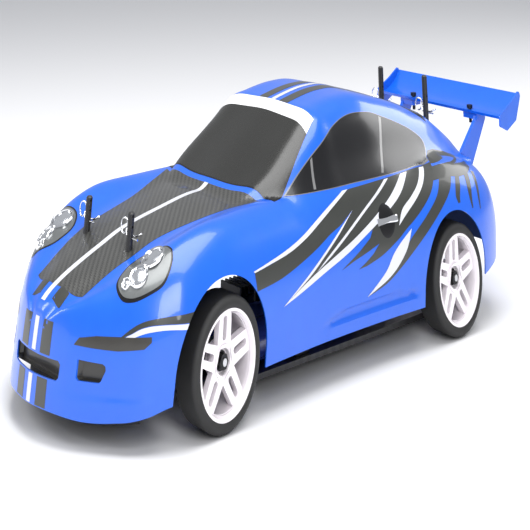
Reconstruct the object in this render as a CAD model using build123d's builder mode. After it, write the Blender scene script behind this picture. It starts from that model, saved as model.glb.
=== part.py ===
"""One-tenth scale radio controlled touring car: a thin painted body shell on a rear-driven plate chassis.

Frame: millimetres, +Z up, the floor at Z = 0, the nose towards -Y and the car's left side towards +X.
The pieces are laid out about the middle of the wheelbase, then saved with the origin midway along the car.
"""

from build123d import *
from math import atan2, cos, degrees, hypot, pi, radians, sin, sqrt, tan
import os

os.makedirs("parts", exist_ok=True)

# ---- Driving dimensions ----
WHEELBASE = 260.0
MIDDLE_OF_CAR = 10.1
FRONT_AXLE = -WHEELBASE / 2
REAR_AXLE = WHEELBASE / 2
AXLE_HEIGHT = 32.0
TYRE_RADIUS = 32.0
RIM_RADIUS = 26.0
RIM_BED = 24.6
WHEEL_INNER = 73.0
WHEEL_OUTER = 97.0
GROUND_CLEARANCE = 6.0
PLATE = 3.0
FLOOR = GROUND_CLEARANCE + PLATE

# Front suspension: each knuckle slides and steers on an upright kingpin held by a C-shaped arm.
KINGPIN_X = 62.0
KINGPIN_RADIUS = 1.5
ARM_LOW = (13.0, 18.0)
ARM_HIGH = (46.0, 50.0)
KNUCKLE_TOP = 37.0
STEER_ARM = (5.0, 22.0)
TIE_ROD_Z = 28.6
RUNNING = 0.06

# Rear pod: it rocks about a hinge pin along X and carries the motor and the solid rear axle.
POD_PIVOT = (54.0, 13.0)
PIVOT_PIN_RADIUS = 1.5
STEM_HALF = 5.2
BRACKET_SCREW_Y = 47.6
POD_HALF = 50.0
POD_SIDE = 4.0
POD_FLOOR = 9.5
POD_TOP = 50.0
AXLE_RADIUS = 2.5
THREAD_RADIUS = 1.9

# Rear damper: it lies along Y between a post on the chassis and the pod's top plate.
DAMPER_FRONT_Y = 22.0
DAMPER_REAR_Y = 92.0
DAMPER_Z = 56.0
DAMPER_PIN = 1.25

# Body shell
WALL = 1.2
FRONT_ARCH = (FRONT_AXLE - 3, 42.0)
REAR_ARCH = (REAR_AXLE - 3, 40.0)
FRONT_POST = (29.0, -176.0)
REAR_POST = (29.5, 172.0)
POST_RADIUS = 2.6
CLIP_WIRE = 0.5
SCREW_RADIUS = 1.4


def save(shape, name):
    """Labels a finished piece, moves it so that the origin is midway along the car, and writes it."""
    shape = shape.moved(Location((0, -MIDDLE_OF_CAR, 0)))
    shape.label = name
    export_step(shape, f"parts/{name}.step")


def save_pair(shape, name):
    """Writes a left-hand piece and its mirror image on the right."""
    save(shape, f"{name}_left")
    save(mirror(shape, about=Plane.YZ), f"{name}_right")


def along_x(x):
    """Plane across the X axis at x, with its normal along +X, its x along +Y and its y along +Z."""
    return Plane(origin=(x, 0, 0), x_dir=(0, 1, 0), z_dir=(1, 0, 0))


def along_y(y):
    """Plane across the Y axis at y, with its normal along +Y, its x along -X and its y along +Z."""
    return Plane(origin=(0, y, 0), x_dir=(-1, 0, 0), z_dir=(0, 1, 0))


# ---- Body shell ----
def curve(y, knots):
    """Value at station y of a smooth line through (y, value) knots, by cubic Hermite pieces."""
    if y <= knots[0][0]:
        return knots[0][1]
    for i in range(len(knots) - 1):
        (ya, va), (yb, vb) = knots[i], knots[i + 1]
        if y <= yb:
            yp, vp = knots[max(i - 1, 0)]
            yn, vn = knots[min(i + 2, len(knots) - 1)]
            slope_a = (vb - vp) / (yb - yp)
            slope_b = (vn - va) / (yn - ya)
            h = yb - ya
            t = (y - ya) / h
            start = (2 * t**3 - 3 * t**2 + 1) * va + (t**3 - 2 * t**2 + t) * h * slope_a
            end = (3 * t**2 - 2 * t**3) * vb + (t**3 - t**2) * h * slope_b
            return start + end
    return knots[-1][1]


HALF_WIDTH = [(-234.2, 12), (-233, 19), (-231, 26), (-227.3, 36), (-220.8, 48), (-214, 58), (-207, 67), (-200, 76),
              (-191, 84), (-181, 90), (-168, 95.5), (-130, 98.5), (-85, 96), (-20, 93), (50, 94), (100, 98),
              (130, 99), (165, 97.5), (186, 91.5), (200, 83.5), (209, 73), (214, 60)]
HOOD = [(-234.2, 51), (-233.5, 57.3), (-228.4, 63), (-216.5, 69.2), (-201, 75), (-183, 80.8), (-162.6, 86.9),
        (-126.6, 92.8), (-90, 97), (0, 96), (100, 97), (150, 97), (180, 94), (200, 88), (210, 80), (214, 68)]
FENDER = [(-234.2, 50.5), (-233, 55), (-229, 60), (-219, 65), (-208, 70), (-195, 76), (-182, 82), (-170, 87.5),
          (-155, 93), (-135, 97), (-105, 98), (-60, 98.5), (60, 98.5), (125, 100), (150, 98), (175, 93.5),
          (195, 86), (207, 77), (214, 62)]
SILL = [(-234.2, 14.5), (-220, 13), (-205, 14), (-190, 16.5), (-175, 20), (-160, 21),
        (-95, 23), (85, 23), (150, 25), (168, 29), (190, 32), (214, 36)]
ROOF = [(-90, 92), (-82, 97.5), (-67, 106), (-47, 117.5), (-27, 129), (-6, 141), (7, 144), (25, 146.5),
        (38, 147.3), (53, 147), (73, 143.5), (111, 135), (130, 129.5), (155, 122), (169, 115.5), (186, 106.5),
        (197, 99.5), (206, 90), (211, 78)]
ROOF_EDGE = [(-90, 50), (-75, 62), (-56, 69), (-32, 64), (-15, 60), (0, 58.5), (45, 58.5), (80, 56), (118, 53),
             (140, 50), (166, 46), (204, 41), (211, 38)]
ROOF_DROP = [(-90, 2), (-75, 10), (-56, 15), (-32, 10.5), (-15, 7), (-5, 5), (10, 7), (43, 8.5), (150, 7),
             (200, 4), (211, 0.5)]
BELT = [(-90, 60), (-70, 74), (-55, 82), (-30, 84.5), (60, 84.5), (100, 81), (130, 76), (166, 66), (204, 54),
        (211, 50)]
BELT_HEIGHT = 88.0
BODY_STATIONS = (-234.2, -233, -231, -227.3, -220.8, -214, -207, -200, -191, -181, -168, -145, -115, -70, -20,
                 40, 90, 125, 155, 180, 195, 205, 211, 214)
CABIN_STATIONS = (-90, -74, -58, -40, -20, -6, 8, 25, 50, 80, 110, 140, 166, 184, 198, 206, 211)
BODY_HALF_LENGTH = 222.0
BODY_HALF_WIDTH = 98.0


def body_section(y):
    """Half of the lower body's outline at station y, from the centre line out and down to the sill."""
    w = curve(y, HALF_WIDTH)
    hood = curve(y, HOOD)
    fender = curve(y, FENDER)
    sill = curve(y, SILL)
    side = fender - sill
    return [
        (0.0, hood),
        (0.30 * w, hood - 0.8),
        (0.53 * w, min(hood, fender) - 1.0 + 0.15 * abs(hood - fender)),
        (0.74 * w, fender),
        (0.90 * w, fender - 0.13 * side),
        (0.985 * w, fender - 0.38 * side),
        (w, sill + 0.30 * side),
        (0.975 * w, sill),
    ]


def cabin_section(y):
    """Half of the cabin's outline at station y, from the roof's centre line down to below the belt line."""
    roof = curve(y, ROOF)
    edge = curve(y, ROOF_EDGE)
    drop = curve(y, ROOF_DROP)
    belt = curve(y, BELT)
    base = min(BELT_HEIGHT, roof - 3)
    rise = roof - drop - base
    return [
        (0.0, roof),
        (0.55 * edge, roof - 0.1 * drop),
        (0.88 * edge, roof - 0.4 * drop),
        (edge, roof - drop),
        (edge + 0.54 * (belt - edge), base + 0.5 * rise),
        (belt, base + 0.06 * rise),
        (belt + 1.5, 74.0),
    ]


def lofted_body(stations, section, inset, open_bottom=False):
    """A solid lofted through the sections, drawn in by about inset. An open bottom runs below the floor."""
    with BuildPart() as lofted:
        for y in stations:
            half = [(x * (1 - inset / BODY_HALF_WIDTH), z - inset) for x, z in section(y)]
            if open_bottom:
                half[-1] = (half[-1][0], -12.0)
            outline = [(-x, z) for x, z in half[:0:-1]] + half
            with BuildSketch(Plane.XZ.offset(-y * (1 - inset / BODY_HALF_LENGTH))):
                with BuildLine():
                    top = Spline(*outline)
                    Line(top @ 1, top @ 0)
                make_face()
        loft(ruled=True)
    return lofted.part


def intakes(grow):
    """Prisms through the nose for the bumper's recessed intakes, each side grown by grow."""
    with BuildPart() as prisms:
        with BuildSketch(Plane.XZ.offset(165)):
            with BuildLine():  # the upper slot of the left side
                Polyline((36, 45), (40, 50), (64, 52.3), (84, 53.5), (81, 47.5), (64, 45.2), (36, 45))
            slot = make_face()
            mirror(slot, about=Plane.YZ)
            with Locations((49.5, 34.6), (-49.5, 34.6)):
                RectangleRounded(20, 9.5, 2.5)
            with Locations((0, 32.5)):
                RectangleRounded(54, 10, 2)
            if grow:
                offset(amount=grow, kind=Kind.INTERSECTION)
        extrude(amount=75)
    return prisms.part


def make_body_shell():
    """The thin vacuum-formed body shell, open below, with wheel arches, recessed intakes and post holes."""
    recess = 5.0
    outer = lofted_body(BODY_STATIONS, body_section, 0) + lofted_body(CABIN_STATIONS, cabin_section, 0)
    core = lofted_body(BODY_STATIONS, body_section, recess, open_bottom=True)
    deep_core = lofted_body(BODY_STATIONS, body_section, recess + WALL, open_bottom=True)
    hollow = lofted_body(BODY_STATIONS, body_section, WALL, open_bottom=True)
    hollow = hollow + lofted_body(CABIN_STATIONS, cabin_section, WALL)
    liner = intakes(WALL) - deep_core
    pocket = intakes(0) - core
    with BuildPart() as shell:
        add(outer)
        add(hollow - liner, mode=Mode.SUBTRACT)
        add(pocket, mode=Mode.SUBTRACT)
        for arch_y, arch_radius in (FRONT_ARCH, REAR_ARCH):
            for side in (-1, 1):
                with BuildSketch(along_x(0)):
                    with Locations((arch_y, AXLE_HEIGHT)):
                        Circle(arch_radius)
                    with Locations((arch_y, AXLE_HEIGHT / 2 - 8)):
                        Rectangle(2 * arch_radius - 2, AXLE_HEIGHT + 16)
                extrude(amount=side * 130, mode=Mode.SUBTRACT)
        for post in (FRONT_POST, REAR_POST):
            with Locations((post[0], post[1], 100), (-post[0], post[1], 100)):
                Cylinder(POST_RADIUS + 0.8, 80, mode=Mode.SUBTRACT)
    return shell.part


save(make_body_shell(), "body_shell")

# ---- Rear wing ----
WING_HALF_SPAN = 80.2
STRUT_X = 48.0
PAD_X = 42.0
WING_SCREW = (37.5, 228.5)
WING_BLADE = [(221, 115.6), (231, 114.9), (243, 118.8), (254, 128)]

with BuildPart() as rear_wing:
    with BuildSketch(along_x(-WING_HALF_SPAN)):
        with BuildLine():
            low = Spline(*WING_BLADE)
            high = Spline(*[(y - 0.7, z + 1.9) for y, z in WING_BLADE])
            Line(low @ 0, high @ 0)
            Line(low @ 1, high @ 1)
        make_face()
    extrude(amount=2 * WING_HALF_SPAN)
    for x in (-WING_HALF_SPAN - 1.6, WING_HALF_SPAN):
        with BuildSketch(along_x(x)):
            with BuildLine():
                Polyline((219.8, 110.7), (220.7, 118.5), (239, 125.5), (252.5, 132), (254.5, 128.5),
                         (245, 112.5), (230, 107), close=True)
            plate = make_face()
            fillet(plate.vertices(), 2)
        extrude(amount=1.6)
    with Locations((WING_SCREW[0], WING_SCREW[1], 114), (-WING_SCREW[0], WING_SCREW[1], 114)):
        Cylinder(1.7, 20, mode=Mode.SUBTRACT)
save(rear_wing.part, "rear_wing")


def strut_at(side):
    """One wing strut: a blade leaning back from the deck, with a pad that reaches in under the wing's screw."""
    with BuildPart() as strut:
        with BuildSketch(along_x(side * STRUT_X - 1.5)):
            with BuildLine():
                Polyline((197, 92), (210, 79), (237, 111), (237, 115), (223, 115), (221, 111), close=True)
            make_face()
        extrude(amount=3)
        with BuildSketch(Plane.XY.offset(111.4)):
            with Locations((side * PAD_X, WING_SCREW[1])):
                RectangleRounded(19, 12, 2)
        extrude(amount=3.8)
        with Locations((side * WING_SCREW[0], WING_SCREW[1], 110)):
            Cylinder(1.7, 20, mode=Mode.SUBTRACT)
    return strut.part


deck_room = lofted_body(BODY_STATIONS, body_section, -0.15)
deck_room = deck_room + lofted_body(CABIN_STATIONS, cabin_section, -0.15)
wing_room = rear_wing.part.moved(Location((0, 0, -0.1)))
with BuildPart() as wing_struts:
    for side in (-1, 1):
        add(strut_at(side) - deck_room - wing_room)
save(wing_struts.part, "wing_struts")

with BuildPart() as wing_screws:
    for side in (-1, 1):
        with Locations((side * WING_SCREW[0], WING_SCREW[1], 112.5)):
            Cylinder(1.5, 10)
        with Locations((side * WING_SCREW[0], WING_SCREW[1], 118.6)):
            Cylinder(2.9, 2.2)
save(wing_screws.part, "wing_screws")

# ---- Body posts and clips ----
FRONT_POST_TOP = 101.6
REAR_POST_TOP = 144.7
FRONT_CLIP_Z = 88.5
REAR_CLIP_Z = 119.5


def body_posts(place, top, collar_z, clip_z):
    """A pair of plastic posts with a collar under the shell and a clip hole above it."""
    with BuildPart() as posts:
        for side in (-1, 1):
            x = side * place[0]
            with Locations((x, place[1], (FLOOR + top) / 2)):
                Cylinder(POST_RADIUS, top - FLOOR)
            with Locations((x, place[1], FLOOR + 2.5)):
                Cylinder(6, 5)
            with Locations((x, place[1], collar_z - 1)):
                Cylinder(5.5, 2)
            with Locations(*[(x, place[1], clip_z + 5.5 * step) for step in range(3)]):
                Cylinder(CLIP_WIRE + 0.3, 20, rotation=(0, 90, 0), mode=Mode.SUBTRACT)
            with Locations((x, place[1], FLOOR + 3)):
                Cylinder(SCREW_RADIUS + 0.05, 7, mode=Mode.SUBTRACT)
        chamfer(posts.faces().sort_by(Axis.Z)[-2:].edges(), 0.8)
    return posts.part


save(body_posts(FRONT_POST, FRONT_POST_TOP, 77.0, FRONT_CLIP_Z), "front_body_posts")
save(body_posts(REAR_POST, REAR_POST_TOP, 106.5, REAR_CLIP_Z), "rear_body_posts")

CLIP_PATH = [(9, 0, 0), (0, 0, 0), (-7, 0, 0), (-11.5, -1.5, 1.2), (-15.5, 1, 4), (-13, 4.5, 5.5),
             (-8.5, 4.6, 2.6), (-4, 3.8, 0.3), (0, 4.0, 0), (4, 3.4, 0), (8, 4.6, 0)]


def body_clip(x, y, z):
    """One spring-wire clip: a straight leg through the post's hole, a loop, and a leg round the post."""
    with BuildPart() as clip:
        with BuildLine():
            path = Spline(*[(x + px, y + py, z + pz) for px, py, pz in CLIP_PATH])
        with BuildSketch(Plane(origin=path @ 0, z_dir=path % 0)):
            Circle(CLIP_WIRE)
        sweep()
    return clip.part


with BuildPart() as body_clips:
    for place, height in ((FRONT_POST, FRONT_CLIP_Z), (REAR_POST, REAR_CLIP_Z)):
        for side in (-1, 1):
            add(body_clip(side * place[0], place[1], height))
save(body_clips.part, "body_clips")

# ---- Chassis ----
WINDOW = (-52.0, 52.0, 62.0, 154.0)
FRONT_ARM_SCREWS = [(side * 25, FRONT_AXLE + dy) for side in (-1, 1) for dy in (-5.5, 5.5)]
POST_SCREWS = [(side * x, y) for x, y in (FRONT_POST, REAR_POST) for side in (-1, 1)]
CENTRE_SCREWS = [(0, DAMPER_FRONT_Y), (0, BRACKET_SCREW_Y)]
PLATE_SCREWS = FRONT_ARM_SCREWS + POST_SCREWS + CENTRE_SCREWS

with BuildPart() as chassis_plate:
    with BuildSketch(Plane.XY.offset(GROUND_CLEARANCE)):
        with BuildLine():
            Polyline((0, -190), (38, -190), (38, -156), (32, -148), (32, -112), (52, -92), (60, -70),
                     (62, 60), (62, 180), (0, 180))
            mirror(about=Plane.YZ)
        outline = make_face()
        fillet(outline.vertices().filter_by(lambda v: abs(v.X) > 1), 6)
        with Locations(((WINDOW[0] + WINDOW[1]) / 2, (WINDOW[2] + WINDOW[3]) / 2)):
            RectangleRounded(WINDOW[1] - WINDOW[0], WINDOW[3] - WINDOW[2], 3, mode=Mode.SUBTRACT)
    extrude(amount=PLATE)
    for x, y in PLATE_SCREWS:
        with Locations((x, y, GROUND_CLEARANCE)):
            Cylinder(SCREW_RADIUS + 0.1, 12, mode=Mode.SUBTRACT)
            Cylinder(2.8, 3.6, mode=Mode.SUBTRACT)
save(chassis_plate.part, "chassis_plate")

with BuildPart() as chassis_screws:
    for x, y in PLATE_SCREWS:
        with Locations((x, y, GROUND_CLEARANCE + 0.9)):
            Cylinder(2.6, 1.6)
        with Locations((x, y, GROUND_CLEARANCE + 4.6)):
            Cylinder(SCREW_RADIUS, 6)
save(chassis_screws.part, "chassis_screws")

with BuildPart() as front_bumper:
    with BuildSketch(Plane.XY.offset(FLOOR)):
        with BuildLine():
            Spline((-66, -184), (-52, -201), (0, -216), (52, -201), (66, -184))
            Line((66, -184), (-66, -184))
        make_face()
    extrude(amount=16)
    fillet(front_bumper.edges().group_by(Axis.Z)[-1], 2.5)
save(front_bumper.part, "front_bumper")

# ---- Front suspension ----
with BuildPart() as front_arm:
    for (low, high), inner, root, tip in ((ARM_LOW, 20, 9, 5.5), (ARM_HIGH, 21, 8, 5)):
        with BuildSketch(Plane.XY.offset(low)):
            with BuildLine():
                Polyline((inner, -root), (KINGPIN_X, -tip), (KINGPIN_X, tip), (inner, root), close=True)
            make_face()
            with Locations((KINGPIN_X, 0)):
                Circle(tip)
            with Locations(((inner + KINGPIN_X) / 2 + 2, 0)):
                SlotOverall(18, 6, mode=Mode.SUBTRACT)
        extrude(amount=high - low)
    with Locations((25, 0, (FLOOR + ARM_LOW[1]) / 2)):
        Box(12, 20, ARM_LOW[1] - FLOOR)
    with Locations((24.5, 0, (ARM_LOW[1] + ARM_HIGH[0]) / 2)):
        Box(7, 14, ARM_HIGH[0] - ARM_LOW[1])
    with Locations((KINGPIN_X, 0, 30)):
        Cylinder(KINGPIN_RADIUS + 0.01, 60, mode=Mode.SUBTRACT)
    for dy in (-5.5, 5.5):
        with Locations((25, dy, FLOOR)):
            Cylinder(SCREW_RADIUS + 0.05, 12, mode=Mode.SUBTRACT)
save_pair(front_arm.part.moved(Location((0, FRONT_AXLE, 0))), "front_arm")

with BuildPart() as kingpins:
    for side in (-1, 1):
        with Locations((side * KINGPIN_X, FRONT_AXLE, 31.6)):
            Cylinder(KINGPIN_RADIUS, 38)
save(kingpins.part, "kingpins")

SEAT_TOP = KNUCKLE_TOP + 1.2
with BuildPart() as spring_seat:
    with Locations((KINGPIN_X, FRONT_AXLE, (KNUCKLE_TOP + SEAT_TOP) / 2)):
        Cylinder(4.6, SEAT_TOP - KNUCKLE_TOP)
        Cylinder(KINGPIN_RADIUS + RUNNING, 5, mode=Mode.SUBTRACT)
save_pair(spring_seat.part, "spring_seat")


def coil_spring(plane, length, turns, radius, wire):
    """A coil spring on a plane, standing along its normal, that just fits in length."""
    foot = plane.offset(wire)
    height = length - 2 * wire
    with BuildPart() as spring:
        with BuildLine():
            coil = Helix(height / turns, height, radius, center=foot.origin, direction=foot.z_dir)
        with BuildSketch(Plane(origin=coil @ 0, z_dir=coil % 0)):
            Circle(wire)
        sweep(path=coil, is_frenet=True)
    return spring.part


front_spring_length = ARM_HIGH[0] - SEAT_TOP - 0.1
front_spring_plane = Plane(origin=(KINGPIN_X, FRONT_AXLE, SEAT_TOP + 0.05))
save_pair(coil_spring(front_spring_plane, front_spring_length, 4, 3.4, 0.45), "front_spring")


def flat_link(start, end, low, thick, eye, waist):
    """A flat, level link with a round eye at each end, its lower face at low."""
    middle = ((start[0] + end[0]) / 2, (start[1] + end[1]) / 2)
    length = hypot(end[0] - start[0], end[1] - start[1])
    turn = degrees(atan2(end[1] - start[1], end[0] - start[0]))
    with BuildPart() as link:
        with BuildSketch(Plane.XY.offset(low)):
            with Locations(start, end):
                Circle(eye)
            with Locations(Location((middle[0], middle[1], 0), (0, 0, turn))):
                Rectangle(length, waist)
        extrude(amount=thick)
    return link.part


STEER_ARM_Z = 33.2
STUD_RADIUS = 1.2
STUD_END = 25.8
arm_tip = (KINGPIN_X + STEER_ARM[0], FRONT_AXLE + STEER_ARM[1])
with BuildPart() as knuckle:
    with Locations((KINGPIN_X, FRONT_AXLE, (24 + KNUCKLE_TOP) / 2)):
        Cylinder(5.4, KNUCKLE_TOP - 24)
    with Locations((KINGPIN_X + 5, FRONT_AXLE, AXLE_HEIGHT)):
        Cylinder(5, 10, rotation=(0, 90, 0))
    add(flat_link((KINGPIN_X, FRONT_AXLE), arm_tip, STEER_ARM_Z, 3.2, 3.2, 5.4))
    with Locations((arm_tip[0], arm_tip[1], (STUD_END + STEER_ARM_Z) / 2)):
        Cylinder(STUD_RADIUS, STEER_ARM_Z - STUD_END)
    with Locations((KINGPIN_X, FRONT_AXLE, AXLE_HEIGHT)):
        Cylinder(KINGPIN_RADIUS + RUNNING, 40, mode=Mode.SUBTRACT)
    with Locations((KINGPIN_X + 7.5, FRONT_AXLE, AXLE_HEIGHT)):
        Cylinder(AXLE_RADIUS + 0.01, 10, rotation=(0, 90, 0), mode=Mode.SUBTRACT)
save_pair(knuckle.part, "steering_knuckle")

WEB_FACE = 83.5
NUT_FACE = 87.5
AXLE_END = 93.0


def rod_along_x(parts, y, z):
    """Round lengths along X at (y, z), given as (start, end, radius)."""
    with BuildPart() as rod:
        for start, end, radius in parts:
            with Locations(((start + end) / 2, y, z)):
                Cylinder(radius, end - start, rotation=(0, 90, 0))
    return rod.part


front_axle = rod_along_x([(64.6, 87, AXLE_RADIUS), (79, WEB_FACE - 0.1, 5), (87, AXLE_END, THREAD_RADIUS)],
                         FRONT_AXLE, AXLE_HEIGHT)
save_pair(front_axle, "front_axle")


def wheel_nut(axle_y):
    """A flanged hexagon nut on the end of an axle, at the left."""
    with BuildPart() as nut:
        with BuildSketch(along_x(NUT_FACE + 0.6)):
            with Locations((axle_y, AXLE_HEIGHT)):
                RegularPolygon(4.1, 6)
        extrude(amount=4)
        with BuildSketch(along_x(NUT_FACE + 0.05)):
            with Locations((axle_y, AXLE_HEIGHT)):
                Circle(4.9)
        extrude(amount=0.6)
        with Locations((NUT_FACE, axle_y, AXLE_HEIGHT)):
            Cylinder(THREAD_RADIUS + 0.02, 30, rotation=(0, 90, 0), mode=Mode.SUBTRACT)
    return nut.part


save_pair(wheel_nut(FRONT_AXLE), "front_nut")
save(wheel_nut(REAR_AXLE) + mirror(wheel_nut(REAR_AXLE), about=Plane.YZ), "rear_nuts")

# ---- Wheels ----
HUB_START = WEB_FACE - 3
RIM_PROFILE = [(WHEEL_INNER, RIM_RADIUS), (WHEEL_INNER + 2, RIM_RADIUS), (WHEEL_INNER + 2.6, RIM_BED),
               (WHEEL_OUTER - 3.4, RIM_BED), (WHEEL_OUTER - 2.6, RIM_RADIUS), (WHEEL_OUTER, RIM_RADIUS),
               (WHEEL_OUTER, RIM_BED), (WHEEL_OUTER - 3.6, RIM_BED - 1.4), (WHEEL_INNER, RIM_BED - 1.4)]
HUB_PROFILE = [(HUB_START, 0), (HUB_START, 8.8), (92.5, 8.2), (91, 6.4), (NUT_FACE, 5.8), (NUT_FACE, 0)]
SPOKES = 5
HEXAGON = 7.0

with BuildPart() as rim:
    with BuildSketch(Plane.XY):
        for profile in (RIM_PROFILE, HUB_PROFILE):
            with BuildLine():
                Polyline(*profile, close=True)
            make_face()
    revolve(axis=Axis.X)
    with BuildSketch(along_x(86.6)):
        with PolarLocations(15.2, SPOKES, start_angle=90):
            Trapezoid(12.6, 16.8, 87, rotation=-90)
        with PolarLocations(15.8, SPOKES, start_angle=90):
            SlotOverall(11.8, 3.6, mode=Mode.SUBTRACT)
    extrude(amount=6)
    with BuildSketch(Plane.XY):  # dishes the faces of the spokes
        with BuildLine():
            Polyline((96, 8.4), (91.3, 8.4), (92.4, 23.4), (96, 23.4), close=True)
        make_face()
    revolve(axis=Axis.X, mode=Mode.SUBTRACT)
    with BuildSketch(along_x(HUB_START)):
        RegularPolygon(HEXAGON, 6)
    extrude(amount=WEB_FACE - HUB_START, mode=Mode.SUBTRACT)
    with Locations((86, 0, 0)):
        Cylinder(AXLE_RADIUS + RUNNING, 20, rotation=(0, 90, 0), mode=Mode.SUBTRACT)

BEAD = [(WHEEL_INNER + 0.1, RIM_RADIUS + 0.05), (WHEEL_INNER + 2.2, RIM_RADIUS + 0.05),
        (WHEEL_INNER + 2.8, RIM_BED + 0.1), (WHEEL_OUTER - 3.6, RIM_BED + 0.1),
        (WHEEL_OUTER - 2.8, RIM_RADIUS + 0.05), (WHEEL_OUTER - 0.1, RIM_RADIUS + 0.05)]
with BuildPart() as tyre:
    with BuildSketch(Plane.XY):
        with BuildLine():
            Polyline(*BEAD)
            outer_edge = (WHEEL_OUTER - 3.4, TYRE_RADIUS)
            inner_edge = (WHEEL_INNER + 3.4, TYRE_RADIUS)
            Spline(BEAD[-1], (WHEEL_OUTER + 0.6, 28.6), (WHEEL_OUTER - 1.2, 31.3), outer_edge)
            Line(outer_edge, inner_edge)
            Spline(inner_edge, (WHEEL_INNER + 1.2, 31.3), (WHEEL_INNER - 0.6, 28.6), BEAD[0])
        make_face()
    revolve(axis=Axis.X)

for axle, axle_y in (("front", FRONT_AXLE), ("rear", REAR_AXLE)):
    save_pair(rim.part.moved(Location((0, axle_y, AXLE_HEIGHT))), f"rim_{axle}")
    save_pair(tyre.part.moved(Location((0, axle_y, AXLE_HEIGHT))), f"tyre_{axle}")

# ---- Steering ----
HORN_Z = 32.6
horn_tip_y = FRONT_AXLE + STEER_ARM[1]

with BuildPart() as steering_servo:
    with Locations((0, FRONT_AXLE - 12, (FLOOR + 31) / 2)):
        Box(20, 40, 31 - FLOOR)
    fillet(steering_servo.edges().filter_by(Axis.Z), 1.5)
    with Locations((0, FRONT_AXLE - 12, 25)):
        Box(18, 54, 2.5)
    with Locations((0, FRONT_AXLE, 31.6)):
        Cylinder(6, 1.2)
    with Locations((0, FRONT_AXLE, 34)):
        Cylinder(2.9, 5)
save(steering_servo.part, "steering_servo")

with BuildPart() as servo_horn:
    with BuildSketch(Plane.XY.offset(HORN_Z)):
        with Locations((0, FRONT_AXLE)):
            Circle(5.6)
        with Locations((0, (FRONT_AXLE + horn_tip_y) / 2)):
            Rectangle(6, STEER_ARM[1])
        with Locations((0, horn_tip_y)):
            SlotCenterToCenter(2 * STEER_ARM[0], 6.4)
    extrude(amount=3)
    with Locations((0, FRONT_AXLE, HORN_Z)):
        Cylinder(2.9 + RUNNING, 10, mode=Mode.SUBTRACT)
    for side in (-1, 1):
        with Locations((side * STEER_ARM[0], horn_tip_y, (STUD_END + HORN_Z) / 2)):
            Cylinder(STUD_RADIUS, HORN_Z - STUD_END)
save(servo_horn.part, "servo_horn")

with BuildPart() as tie_rod:
    add(flat_link((STEER_ARM[0], horn_tip_y), arm_tip, TIE_ROD_Z, 3, 3.2, 2.6))
    with Locations((STEER_ARM[0], horn_tip_y, TIE_ROD_Z), (arm_tip[0], arm_tip[1], TIE_ROD_Z)):
        Cylinder(STUD_RADIUS + RUNNING, 10, mode=Mode.SUBTRACT)
save_pair(tie_rod.part, "tie_rod")

# ---- Rear pod ----
MOTOR_RADIUS = 18.0
MODULE = 0.6
SPUR_TEETH = 64
PINION_TEETH = 21
GEAR_SPACING = MODULE * (SPUR_TEETH + PINION_TEETH) / 2
MOTOR_Z = 30.0
MOTOR_Y = REAR_AXLE - sqrt(GEAR_SPACING**2 - (AXLE_HEIGHT - MOTOR_Z) ** 2)
MOTOR_ANGLE = degrees(atan2(MOTOR_Z - AXLE_HEIGHT, MOTOR_Y - REAR_AXLE))
GEAR_X = -64.0
GEAR_WIDTH = 5.0
BEARING_RADIUS = 5.0

with BuildPart() as pod_plate:
    with BuildSketch(Plane.XY.offset(POD_FLOOR - 3)):
        with Locations((0, 115)):
            RectangleRounded(2 * POD_HALF, 70, 3)
    extrude(amount=3)
save(pod_plate.part, "pod_plate")

with BuildPart() as pod_top:
    with BuildSketch(Plane.XY.offset(POD_TOP)):
        with Locations((0, 115)):
            RectangleRounded(2 * POD_HALF, 58, 4)
        with Locations((0, 124)):
            RectangleRounded(70, 26, 6, mode=Mode.SUBTRACT)
    extrude(amount=2.5)
    for side in (-1, 1):  # ears for the damper's rear pin
        with BuildSketch(along_x(side * 3.4 - 0.9)):
            with Locations((DAMPER_REAR_Y, DAMPER_Z)):
                Circle(3)
            with Locations((DAMPER_REAR_Y, (POD_TOP + DAMPER_Z) / 2 + 1)):
                Rectangle(6, DAMPER_Z - POD_TOP - 2)
        extrude(amount=1.8)
    with Locations((0, DAMPER_REAR_Y, DAMPER_Z)):
        Cylinder(DAMPER_PIN, 10, rotation=(0, 90, 0))
save(pod_top.part, "pod_top_plate")


def pod_side(x, motor_hole):
    """One upright side plate of the pod, with its axle bearing's hole and a round hole at the motor."""
    with BuildPart() as plate:
        with BuildSketch(along_x(x)):
            with BuildLine():
                Polyline((84, POD_FLOOR), (146, POD_FLOOR), (146, 42), (140, POD_TOP), (90, POD_TOP),
                         (84, 42), close=True)
            make_face()
            with Locations((REAR_AXLE, AXLE_HEIGHT)):
                Circle(BEARING_RADIUS + 0.01, mode=Mode.SUBTRACT)
            with Locations((MOTOR_Y, MOTOR_Z)):
                Circle(motor_hole, mode=Mode.SUBTRACT)
        extrude(amount=POD_SIDE)
    return plate.part


save(pod_side(POD_HALF - POD_SIDE, 12), "pod_side_left")
save(pod_side(-POD_HALF, 5.5), "pod_side_right")

with BuildPart() as rear_bearings:
    for side in (-1, 1):
        with Locations((side * (POD_HALF - POD_SIDE / 2), REAR_AXLE, AXLE_HEIGHT)):
            Cylinder(BEARING_RADIUS, POD_SIDE, rotation=(0, 90, 0))
            Cylinder(AXLE_RADIUS + RUNNING, 20, rotation=(0, 90, 0), mode=Mode.SUBTRACT)
save(rear_bearings.part, "rear_bearings")

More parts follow.
